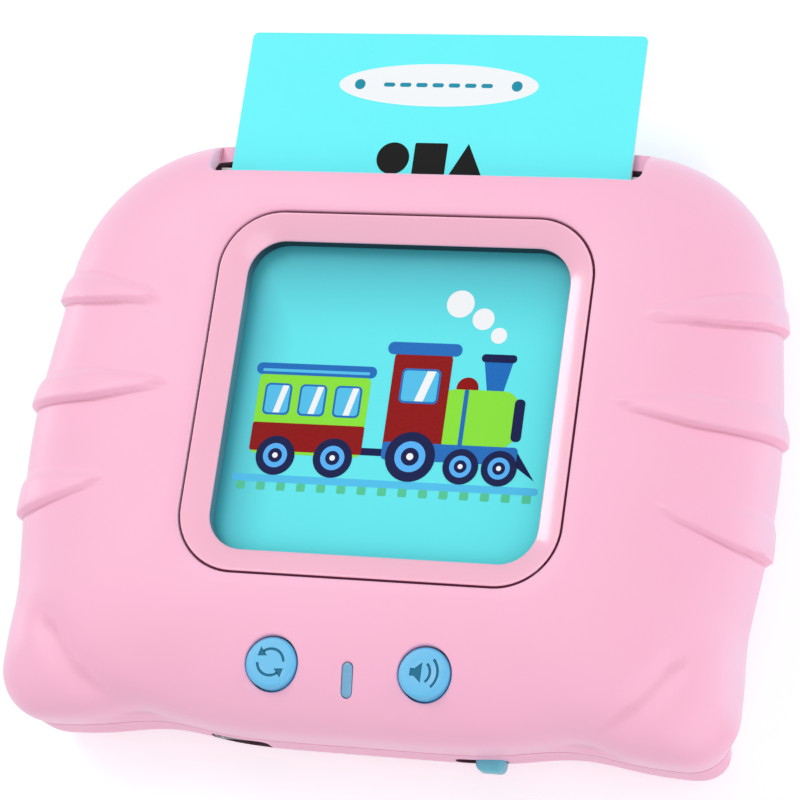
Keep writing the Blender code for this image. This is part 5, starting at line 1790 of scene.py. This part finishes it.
@dataclass
class PictureCard:
    """Card in the slot: printed sheet with a badge, three plain shapes and a toy train."""

    ink_thickness: float = 0.015 * MM
    edge_radius: float = 0.8 * MM
    badge_centre: Point2 = (-0.3, 45.3)
    badge_half: Point2 = (14.1, 3.1)
    badge_dot: float = 0.75
    badge_dot_x: float = 11.1
    dash_half: Point2 = (0.8, 0.3)
    dash_pitch: float = 2.3
    shapes_y: float = 34.6
    shape_half: float = 2.3
    shape_pitch: float = 5.2
    rail_y: float = -10.9
    wheel_y: float = -7.9
    axle_drop: float = 2.6
    pane_inset: float = 0.28
    shine_inset: float = 0.3

    def badge(self) -> list[Stamp]:
        """White oval with dots.

        Returns:
            Its shapes.
        """
        x, y = self.badge_centre
        half_x, half_y = self.badge_half
        oval = [(x + half_x * a, y + half_y * b) for a, b in circle(1.0, 72)]
        dots = [circle(self.badge_dot, 24, (x + side * self.badge_dot_x, y)) for side in (-1, 1)]
        half, rise = self.dash_half
        places = [x + self.dash_pitch * i for i in range(-3, 4)]
        dashes = [bar(place - half, y - rise, place + half, y + rise, 0.29) for place in places]
        return [Stamp(oval, Ink.WHITE)] + [Stamp(outline, Ink.TEAL) for outline in dots + dashes]

    def shapes(self) -> list[Stamp]:
        """Circle, square and triangle.

        Returns:
            The three shapes.
        """
        y = self.shapes_y
        half = self.shape_half
        right = self.shape_pitch
        square = bar(-half, y - half, half, y + half, 0.25)
        triangle = [(right - half, y - half), (right + half, y - half), (right, y + half)]
        return [Stamp(outline, Ink.BLACK)
                for outline in (circle(half, 40, (-right, y)), square, triangle)]

    def wheel(self, x: float, radius: float) -> list[Stamp]:
        """Wheel with a pale rim line and a bright hub."""
        y = self.wheel_y - self.axle_drop + radius
        return [Stamp(circle(share * radius, steps, (x, y)), ink) for share, steps, ink in (
            (1, 40, Ink.NAVY), (0.62, 32, Ink.HUB), (0.36, 24, Ink.NAVY), (0.14, 16, Ink.WHITE))]

    def window(self, x: float, y: float, half_x: float, half_y: float) -> list[Stamp]:
        """Outlined window with a slanted shine.

        Args:
            x: Its middle across.
            y: Its middle along.
            half_x: Half of its width.
            half_y: Half of its height.

        Returns:
            Its shapes.
        """
        rise = half_y - self.shine_inset
        shine = [(x + share * half_x, y + up)
                 for share, up in ((-0.2, -rise), (0.25, -rise), (0.75, rise), (0.3, rise))]
        pane_x = half_x - self.pane_inset
        pane_y = half_y - self.pane_inset
        return [Stamp(bar(x - half_x, y - half_y, x + half_x, y + half_y, 0.7), Ink.BLUE),
                Stamp(bar(x - pane_x, y - pane_y, x + pane_x, y + pane_y, 0.5), Ink.GLASS),
                Stamp(shine, Ink.WHITE)]

    def wagon(self) -> list[Stamp]:
        """Wagon behind the engine.

        Returns:
            Its shapes.
        """
        stamps = [Stamp(bar(*corners), ink) for ink, *corners in (
            (Ink.NAVY, -4.4, -7.2, -0.4, -6.2, 0.4), (Ink.LIME, -19.2, -7.6, -3.6, 3.6, 1.0),
            (Ink.RED, -19.2, -7.2, -3.6, -3.3, 0.3), (Ink.BLUE, -19.8, 3.4, -3.0, 5.0, 0.75),
            (Ink.GLASS, -18.9, 3.8, -3.9, 4.2, 0.15))]
        for x in (-16.3, -11.4, -6.5):
            stamps += self.window(x, 0.0, 1.9, 2.2)
        return stamps + self.wheel(-15.4, 2.7) + self.wheel(-7.4, 2.7)

    def engine(self) -> list[Stamp]:
        """Engine with its cab, boiler, chimney and smoke.

        Returns:
            Its shapes.
        """
        stamps = [Stamp([(17.3, -7.6), (20.3, -9.6), (17.3, -5.4)], Ink.NAVY),
                  Stamp(circle(1.5, 32, (9.7, 2.6)), Ink.RED),
                  Stamp([(12.4, 2.2), (14.6, 2.2), (15.5, 6.6), (11.5, 6.6)], Ink.BLUE)]
        stamps += [Stamp(bar(*corners), ink) for ink, *corners in (
            (Ink.NAVY, 11.1, 6.3, 15.9, 7.4, 0.5), (Ink.LIME, 6.0, -5.4, 17.0, 2.4, 2.2),
            (Ink.BLUE, 9.4, -5.4, 10.0, 2.4, 0.2), (Ink.NAVY, 16.4, -4.4, 17.8, 1.4, 0.6),
            (Ink.RED, -0.8, -7.6, 7.2, 7.2, 0.8), (Ink.BLUE, -0.8, -7.6, 17.6, -5.2, 0.5),
            (Ink.BLUE, -1.9, 6.9, 8.3, 8.6, 0.8))]
        stamps += [Stamp(circle(radius, 32, (x, y)), Ink.WHITE)
                   for x, y, radius in ((13.0, 10.0, 1.1), (10.6, 12.2, 1.5), (7.2, 14.2, 1.9))]
        stamps += self.window(3.2, 2.6, 2.7, 2.4)
        return stamps + self.wheel(3.2, 3.4) + self.wheel(10.2, 2.4) + self.wheel(15.4, 2.4)

    def rails(self) -> list[Stamp]:
        """Track under the train.

        Returns:
            Their shapes.
        """
        y = self.rail_y
        sleepers = [bar(x - 0.6, y - 1.7, x + 0.6, y - 0.6, 0.2)
                    for x in (-19.6 + 2.8 * i for i in range(15))]
        return ([Stamp(bar(-21.0, y - 0.6, 21.0, y + 0.4, 0.45), Ink.GLASS)]
                + [Stamp(sleeper, Ink.STRIP) for sleeper in sleepers])

    def print_stamps(self, stamps: list[Stamp], face: float) -> None:
        """Print stamps on the card, each over the earlier ones, one piece for each ink.

        Args:
            stamps: The shapes.
            face: Height of the card's face.
        """
        levels = stacked(stamps)
        for ink in Ink:
            mesh = bmesh.new()
            for level, stamp in zip(levels, stamps):
                if stamp.ink is ink:
                    outline = [(x * MM, y * MM) for x, y in stamp.outline]
                    prism(outline, face - self.ink_thickness / 4, face + level * self.ink_thickness,
                          mesh)
            if mesh.faces:
                printed = make_piece(f"print_{ink.name.lower()}", mesh, HARD_EDGE)
                publish(printed, [ink.value], Body.CARD, Slot.CARD)

    def build(self) -> None:
        """Make the card and its print."""
        low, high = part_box("flash_card")
        sheet = rounded_rectangle(*half_of("flash_card")[:2], self.edge_radius, 8,
                                  middle_of("flash_card")[:2])
        card = make_piece("picture_card", prism(sheet, low[2], high[2]), HARD_EDGE)
        for face in card.data.polygons:
            face.material_index = 0 if abs(face.normal.z) > 0.5 else 1
        publish(card, [CARD_STOCK, CARD_CORE], Body.CARD, Slot.CARD, "flash_card")
        stamps = self.badge() + self.shapes() + self.rails() + self.wagon() + self.engine()
        self.print_stamps(stamps, high[2])


# ------------------------------------------------------------------- buttons


class Sign(Enum):
    """Signs on the two buttons."""

    REPEAT = "repeat"
    VOLUME = "volume"


@dataclass
class PushButton:
    """Round button cap with an engraved sign."""

    sign: Sign
    body: Body
    form: CaseForm
    radius: float = BUTTON_RADIUS
    edge: float = 0.45 * MM
    stem_radius: float = 2.0 * MM
    flange_thickness: float = 0.8 * MM
    flange_room: float = 0.5 * MM
    flange_edge: float = 0.1 * MM
    engraving: float = 0.14 * MM
    inlay: Point3 = (0.01 * MM, 0.03 * MM, 0.01 * MM)
    line: float = 0.36 * MM
    arrows_radius: float = 1.75 * MM
    arrow_starts: Point2 = (5.0, 185.0)
    arrow_sweep: float = 125.0
    arrow_head: float = 0.75 * MM
    arrow_length: float = 1.05 * MM
    arrow_lap: float = 0.1 * MM

    def repeat_outlines(self) -> list[Outline]:
        """Two arrows that chase each other round a circle.

        Returns:
            The outlines, round the button's middle.
        """
        shapes = []
        for start in self.arrow_starts:
            end = start + self.arrow_sweep
            shapes.append(band((0.0, 0.0), self.arrows_radius, self.line, start, end))
            out = Vector(polar((0.0, 0.0), 1.0, math.radians(end)))
            along = Vector((-out.y, out.x))
            foot = out * self.arrows_radius - along * self.arrow_lap
            tip = foot + along * self.arrow_length
            side = out * self.arrow_head
            shapes.append([tuple(foot - side), tuple(foot + side), tuple(tip)])
        return shapes

    def volume_outlines(self) -> list[Outline]:
        """Speaker with two waves.

        Returns:
            The outlines, round the button's middle.
        """
        speaker = [(x * MM, y * MM) for x, y in ((-1.85, -0.5), (-1.25, -0.5), (-0.3, -1.35),
                                                 (-0.3, 1.35), (-1.25, 0.5), (-1.85, 0.5))]
        centre = (-0.75 * MM, 0.0)
        return [speaker, band(centre, 1.6 * MM, self.line, -48, 48),
                band(centre, 2.6 * MM, self.line, -44, 44)]

    def outlines(self, centre: Point3, shrink: float = 0.0) -> list[Outline]:
        """Outlines of the sign round a centre, each shrunk a little.

        Args:
            centre: The button's middle.
            shrink: How far each outline is moved inwards.

        Returns:
            The outlines.
        """
        outlines = self.repeat_outlines() if self.sign is Sign.REPEAT else self.volume_outlines()
        placed = []
        for outline in outlines:
            turned_on = outline[1:] + outline[:1]
            area = sum(a[0] * b[1] - b[0] * a[1] for a, b in zip(outline, turned_on))
            inset = grown(outline, math.copysign(shrink, -area))
            placed.append([(centre[0] + x, centre[1] + y) for x, y in inset])
        return placed

    def build(self) -> None:
        """Make the button."""
        node = f"{self.sign.value}_button"
        low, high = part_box(node)
        centre = middle_of(node)
        top = high[2]
        reach = half_of(node)[0]
        flange_top = self.flange_level(node)
        flange_under = flange_top - self.flange_thickness
        corners = [(self.stem_radius, low[2], 0.0), (self.stem_radius, flange_under, 0.0),
                   (reach, flange_under, self.flange_edge), (reach, flange_top, self.flange_edge),
                   (self.radius, flange_top, 0.0), (self.radius, top, self.edge)]
        profile = filleted(corners + [(0.0, top, 0.0), (0.0, low[2], 0.0)], 6)[:-2]
        profile += [(0.6 * self.radius, top), (0.3 * self.radius, top)]
        cap = make_piece(f"{self.sign.value}_cap", turned(profile, 72, centre[:2]), SOFT_EDGE)
        for outline in self.outlines(centre):
            carve(cap, prism(outline, top - self.engraving, top + MM), sharp=SOFT_EDGE)
        publish(cap, [BUTTON_BLUE], self.body, Slot.BUTTONS, node)
        sink, thickness, shrink = self.inlay
        inlay_low = top - self.engraving - sink
        mesh = bmesh.new()
        for outline in self.outlines(centre, shrink):
            prism(outline, inlay_low, inlay_low + thickness, mesh)
        inlay = make_piece(f"{self.sign.value}_sign", mesh, HARD_EDGE)
        publish(inlay, [SIGN_BLUE], self.body, Slot.BUTTONS)

    def flange_level(self, button: str) -> float:
        """Upper side of the flange behind the front."""
        under = [self.form.face_z(middle_of(node)[0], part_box(node)[0][1], self.form.wall)
                 for node in (button, LENS_NODE)]
        return min(under) - self.flange_room


@dataclass
class IndicatorLens:
    """Narrow lens between the buttons."""

    front: FrontCase
    inset: float = 0.15 * MM
    crown: float = 0.12 * MM
    crown_width: float = 0.75

    def build(self) -> None:
        """Make the lens."""
        low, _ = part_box(LENS_NODE)
        centre = middle_of(LENS_NODE)[:2]
        half_x, half_y = self.front.lens_half
        stem = rounded_rectangle(half_x, half_y, half_x - HAIR, 8, centre)
        rings = [level_ring(stem, low[2])]
        for share in (0.0, 0.35, 0.7, 1.0):
            inset = self.crown_width * half_x * share
            half = half_x - inset
            loop = rounded_rectangle(half, half_y - inset, half - HAIR, 8, centre)
            sink = self.inset + self.crown * (1 - share) ** 2
            rings.append([(x, y, self.front.height(x, y) - sink) for x, y in loop])
        lens = make_piece("indicator_lens", loft(rings), 45.0)
        publish(lens, [LENS_BLUE], Body.CASE, Slot.LENS, LENS_NODE)


# ---------------------------------------------------------------- lower wall


@dataclass
class PowerKnob:
    """Sliding knob in the lower wall, with a soft tip and a flange inside."""

    half_x: float = 1.9 * MM
    half_z: float = 1.5 * MM
    corner: float = 0.7 * MM
    tip_radius: float = 1.0 * MM
    tip_corner: float = 0.12 * MM
    tip_steps: int = 8
    flange_thickness: float = 0.8 * MM

    def build(self) -> None:
        """Make the knob."""
        low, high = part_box("power_knob")
        x, _, z = middle_of("power_knob")
        rings = []
        for step in range(self.tip_steps + 1):
            angle = math.pi / 2 * step / self.tip_steps
            inset = self.tip_radius * (1 - math.sin(angle))
            outline = rounded_rectangle(self.half_x - inset, self.half_z - inset,
                                        max(self.corner - inset, self.tip_corner), 6, (x, z))
            rings.append((outline, low[1] + self.tip_radius * (1 - math.cos(angle))))
        stem = rounded_rectangle(self.half_x, self.half_z, self.corner, 6, (x, z))
        flange_x, _, flange_z = half_of("power_knob")
        flange = rounded_rectangle(flange_x, flange_z, self.corner, 6, (x, z))
        flange_y = high[1] - self.flange_thickness
        rings += [(stem, flange_y), (flange, flange_y), (flange, high[1])]
        knob = make_piece("slide_knob", laid_along_y(rings), SOFT_EDGE)
        publish(knob, [KNOB_TEAL], Body.POWER_SLIDER, Slot.KNOB, "power_knob")


@dataclass
class ChargingSocket:
    """Metal mouth with a contact tongue."""

    shell: float = 0.3 * MM
    corner: float = 0.9 * MM
    tongue_half: Point2 = (2.6 * MM, 0.3 * MM)
    tongue_setback: float = 0.5 * MM
    tongue_edge: float = 0.1 * MM
    rim: Point2 = (0.05 * MM, 0.1 * MM)
    contacts: int = 5
    contact_pitch: float = 0.85 * MM

    def build(self) -> None:
        """Make the socket, its tongue and its contacts."""
        low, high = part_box("usb_socket")
        x, _, z = middle_of("usb_socket")
        half_x, _, half_z = half_of("usb_socket")
        chamfer, depth = self.rim
        stations = ((0.0, high[1]), (0.0, low[1] + depth), (chamfer, low[1]),
                    (self.shell - chamfer, low[1]), (self.shell, low[1] + depth),
                    (self.shell, high[1] - self.shell))
        loops = [(rounded_rectangle(half_x - inset, half_z - inset, self.corner - inset, 6,
                                    (x, z)), y) for inset, y in stations]
        mouth = make_piece("socket_shell", laid_along_y(loops), SOFT_EDGE)
        # The shell's darker steel is painted shade.
        publish(mouth, [SOCKET_STEEL_SHADED], Body.CASE, Slot.METAL, "usb_socket")
        tongue_x, tongue_z = self.tongue_half
        edge = self.tongue_edge
        tip_y = low[1] + self.tongue_setback
        root_y = high[1] - 2 * self.shell
        core = rounded_rectangle(tongue_x, tongue_z, 0.15 * MM, 3, (x, z))
        tip = rounded_rectangle(tongue_x - edge, tongue_z - edge, 0.08 * MM, 3, (x, z))
        mesh = laid_along_y([(tip, tip_y), (core, tip_y + edge), (core, root_y)])
        tongue = make_piece("socket_tongue", mesh, SOFT_EDGE)
        publish(tongue, [BLACK], Body.CASE, Slot.PLASTIC)
        strips = bmesh.new()
        for i in range(self.contacts):
            place = x + (i - (self.contacts - 1) / 2) * self.contact_pitch
            strip = rounded_rectangle(0.2 * MM, 0.05 * MM, 0.03 * MM, 2, (place, z + tongue_z))
            laid_along_y([(strip, tip_y + 3 * edge), (strip, root_y)], strips)
        contacts = make_piece("socket_contacts", strips, SOFT_EDGE)
        publish(contacts, [GOLD], Body.CASE, Slot.METAL)


@dataclass
class CaseScrews:
    """Pan-head screws with a cross recess, in the wells of the back."""

    head_radius: float = 2.6 * MM
    head_height: float = 1.8 * MM
    shank_radius: float = 1.3 * MM
    recess_depth: float = 1.0 * MM
    recess_width: float = 0.75 * MM
    recess_reach: float = 0.62
    recess_taper: float = 0.6
    crown_share: float = 0.55
    crown_angles: Point2 = (20.0, 90.0)
    crown_steps: int = 6
    thread_pitch: float = 1.1 * MM
    thread_depth: float = 0.22 * MM

    def profile(self, low: float, high: float) -> Outline:
        """Radius and height from the head's crown to the screw's tip.

        Args:
            low: Height of the head's crown.
            high: Height of the tip.

        Returns:
            The profile, open at the axis.
        """
        steps = self.crown_steps
        start, end = (math.radians(angle) for angle in self.crown_angles)
        height = self.crown_share * self.head_height
        crown = [(self.head_radius * math.sin(a), low + height * (1 - math.cos(a)))
                 for a in (start + (end - start) * i / steps for i in range(steps + 1))]
        lift = low - crown[0][1]
        points = [(radius, z + lift) for radius, z in crown]
        seat = low + self.head_height
        points += [(self.head_radius, seat), (self.shank_radius, seat)]
        z = seat + self.thread_pitch
        while z < high - 2 * self.thread_pitch:
            points += [(self.shank_radius, z), (self.shank_radius - self.thread_depth,
                                                z + self.thread_pitch / 2)]
            z += self.thread_pitch
        return points + [(self.shank_radius, z), (0.3 * self.shank_radius, high)]

    def build(self) -> None:
        """Make the four screws."""
        arm = self.recess_reach * self.head_radius
        half = self.recess_width / 2
        cross = [(arm, half), (half, half), (half, arm)]
        for _ in range(3):
            cross += [(-b, a) for a, b in cross[-3:]]
        for number, node in enumerate(SCREW_NODES, 1):
            low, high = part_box(node)
            x, y, _ = middle_of(node)
            screw = make_piece(f"cross_screw_{number}",
                               turned(self.profile(low[2], high[2]), 40, (x, y)), SOFT_EDGE)
            wide_cross, deep_cross = ([(x + share * a, y + share * b) for a, b in cross]
                                      for share in (1.0, self.recess_taper))
            recess = loft([level_ring(wide_cross, low[2] - MM), level_ring(wide_cross, low[2]),
                           level_ring(deep_cross, low[2] + self.recess_depth)])
            carve(screw, recess, sharp=SOFT_EDGE)
            publish(screw, [SCREW_STEEL], Body.CASE, Slot.SCREWS, node)


# --------------------------------------------------------------- inner parts


class InnerParts:
    """Parts inside the case, which keep their shape and get their finishes."""

    finishes: tuple[tuple[Finish, str], ...] = (
        (CREAM, "card_tray"), (BOARD, "reader_board main_board"),
        (BLACK, "card_sensor_1 card_sensor_2 card_sensor_3 card_sensor_4 sound_chip memory_chip "
                "repeat_switch_plunger volume_switch_plunger power_switch_actuator speaker_magnet"),
        (STEEL, "filter_capacitor repeat_switch_body volume_switch_body power_switch_body "
                "speaker_basket"),
        (RIBBON, "reader_ribbon"), (LED_WHITE, "status_led"), (PAPER, "speaker_cone"),
        (FOIL, "battery_cell"), (FOAM, "battery_pad"), (RED_WIRE, "battery_lead_red"),
        (BLACK_WIRE, "battery_lead_black"), (GREY_WIRE, "speaker_lead_right speaker_lead_left"),
        (SCREW_STEEL, "board_screw_1 board_screw_2"),
    )

    def dress(self, nodes: dict[str, Piece]) -> None:
        """Give each inner node its finish.

        Args:
            nodes: The frame's nodes by name.
        """
        for finish, names in self.finishes:
            for name in names.split():
                for slot in nodes[name].material_slots:
                    slot.link = "OBJECT"
                    slot.material = finish.material()
                LOG.info("%s gets %s", name, finish.name)


# -------------------------------------------------------------------- studio


@dataclass
class Studio:
    """Pale floor, soft lamps and the camera."""

    floor_half: float = 3.0
    floor_drop: float = 0.05 * MM
    floor_colour: Colour = (0.9, 0.9, 0.91)
    floor_tint: Colour = (0.93, 0.93, 0.93)
    floor_roughness: float = 0.9
    floor_specular: float = 0.1
    floor_drift: Point2 = (0.4, 0.2)
    floor_lift: float = 0.32
    sky: Colour = (0.94, 0.95, 1.0)
    sky_strength: float = 0.56
    camera_place: Point3 = (0.14343, -0.13108, 0.43102)
    camera_right: Point3 = (0.94919148, 0.13686359, -0.28337942)
    camera_up: Point3 = (-0.04239549, 0.94788084, 0.31579192)
    camera_back: Point3 = (0.31183034, -0.28773299, 0.90552282)
    lens: float = 157.2
    sensor_width: float = 36.0
    clip_start: float = 0.01
    lamps: tuple[tuple[str, Point3, float, float], ...] = (
        ("key_lamp", (-0.42, 0.38, 0.75), 0.5, 2.5),
        ("fill_lamp", (0.5, -0.5, 0.65), 0.8, 2.6),
        ("left_lamp", (-0.99, 0.33, 0.2), 0.25, 1.35),
        ("right_lamp", (0.95, 0.3, 0.3), 0.7, 1.9),
    )

    def backdrop_share(self, tree: Tree) -> Socket:
        """1 where the camera, a mirror or clear plastic looks, and 0 for light on the object."""
        rays = add_node(tree, "ShaderNodeLightPath")
        seen = calculate(tree, "ADD", rays.outputs["Is Camera Ray"], rays.outputs["Is Glossy Ray"])
        return calculate(tree, "ADD", seen, rays.outputs["Is Transmission Ray"], clamp=True)

    def floor(self) -> None:
        """Lay the floor."""
        half = self.floor_half
        mesh = bmesh.new()
        mesh.faces.new([mesh.verts.new((x, y, -self.floor_drop))
                        for x, y in ((-half, -half), (half, -half), (half, half), (-half, half))])
        floor = make_piece("studio_floor", mesh)
        made = bpy.data.materials.new("floor_pale")
        made.use_nodes = True
        tree = made.node_tree
        shader = tree.nodes["Principled BSDF"]
        size, amount = self.floor_drift
        tone = DriftingTone.place(tree, Colour=wide(self.floor_colour), Tint=wide(self.floor_tint),
                                  Size=size, Amount=amount)
        lift = calculate(tree, "MULTIPLY", self.backdrop_share(tree), self.floor_lift)
        surface = {"Base Color": tone["Colour"], "Roughness": self.floor_roughness,
                   "Specular IOR Level": self.floor_specular, "Emission Strength": lift,
                   "Emission Color": wide(PURE_WHITE)}
        for label, value in surface.items():
            feed(tree, shader.inputs[label], value)
        floor.data.materials.append(made)

    def world(self) -> None:
        """Light the scene from all round, and show white behind the object."""
        world = bpy.data.worlds.new("studio_world")
        world.use_nodes = True
        tree = world.node_tree
        light = tree.nodes["Background"]
        light.inputs["Color"].default_value = wide(self.sky)
        light.inputs["Strength"].default_value = self.sky_strength
        seen = add_node(tree, "ShaderNodeBackground", Color=wide(PURE_WHITE), Strength=1.0)
        mix = add_node(tree, "ShaderNodeMixShader", Fac=self.backdrop_share(tree))
        feed(tree, mix.inputs[1], light.outputs[0])
        feed(tree, mix.inputs[2], seen.outputs[0])
        feed(tree, tree.nodes["World Output"].inputs["Surface"], mix.outputs[0])
        bpy.context.scene.world = world

    def lights(self) -> None:
        """Hang the soft lamps, facing the object."""
        for name, place, size, power in self.lamps:
            data = bpy.data.lights.new(name, "AREA")
            data.shape = "SQUARE"
            data.size = size
            data.energy = power
            lamp = linked(name, data)
            lamp.location = place
            lamp.rotation_euler = Vector(place).to_track_quat("Z", "Y").to_euler()

    def camera(self) -> None:
        """Set the camera up at the reference view."""
        data = bpy.data.cameras.new("camera")
        data.lens = self.lens
        data.sensor_width = self.sensor_width
        data.clip_start = self.clip_start
        camera = linked("camera", data)
        columns = Matrix((self.camera_right, self.camera_up, self.camera_back)).transposed()
        camera.matrix_world = Matrix.Translation(self.camera_place) @ columns.to_4x4()
        bpy.context.scene.camera = camera

    def build(self) -> None:
        """Set the whole studio up."""
        self.floor()
        self.world()
        self.lights()
        self.camera()
        bpy.context.scene.view_settings.view_transform = "Standard"
        LOG.info("studio is ready")


def main() -> None:
    """Dress the frame, piece by piece."""
    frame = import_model()
    form = CaseForm()
    Studio().build()
    front = FrontCase(form)
    for assembly in (front, RearCase(form), WindowBezel(form), PictureCard(),
                     PushButton(Sign.REPEAT, Body.REPEAT_KEY, form),
                     PushButton(Sign.VOLUME, Body.VOLUME_KEY, form), IndicatorLens(front),
                     PowerKnob(), ChargingSocket(), CaseScrews()):
        assembly.build()
    InnerParts().dress(frame["nodes"])


if __name__ == "__main__":
    logging.basicConfig(level=logging.INFO, format="%(message)s")
    main()
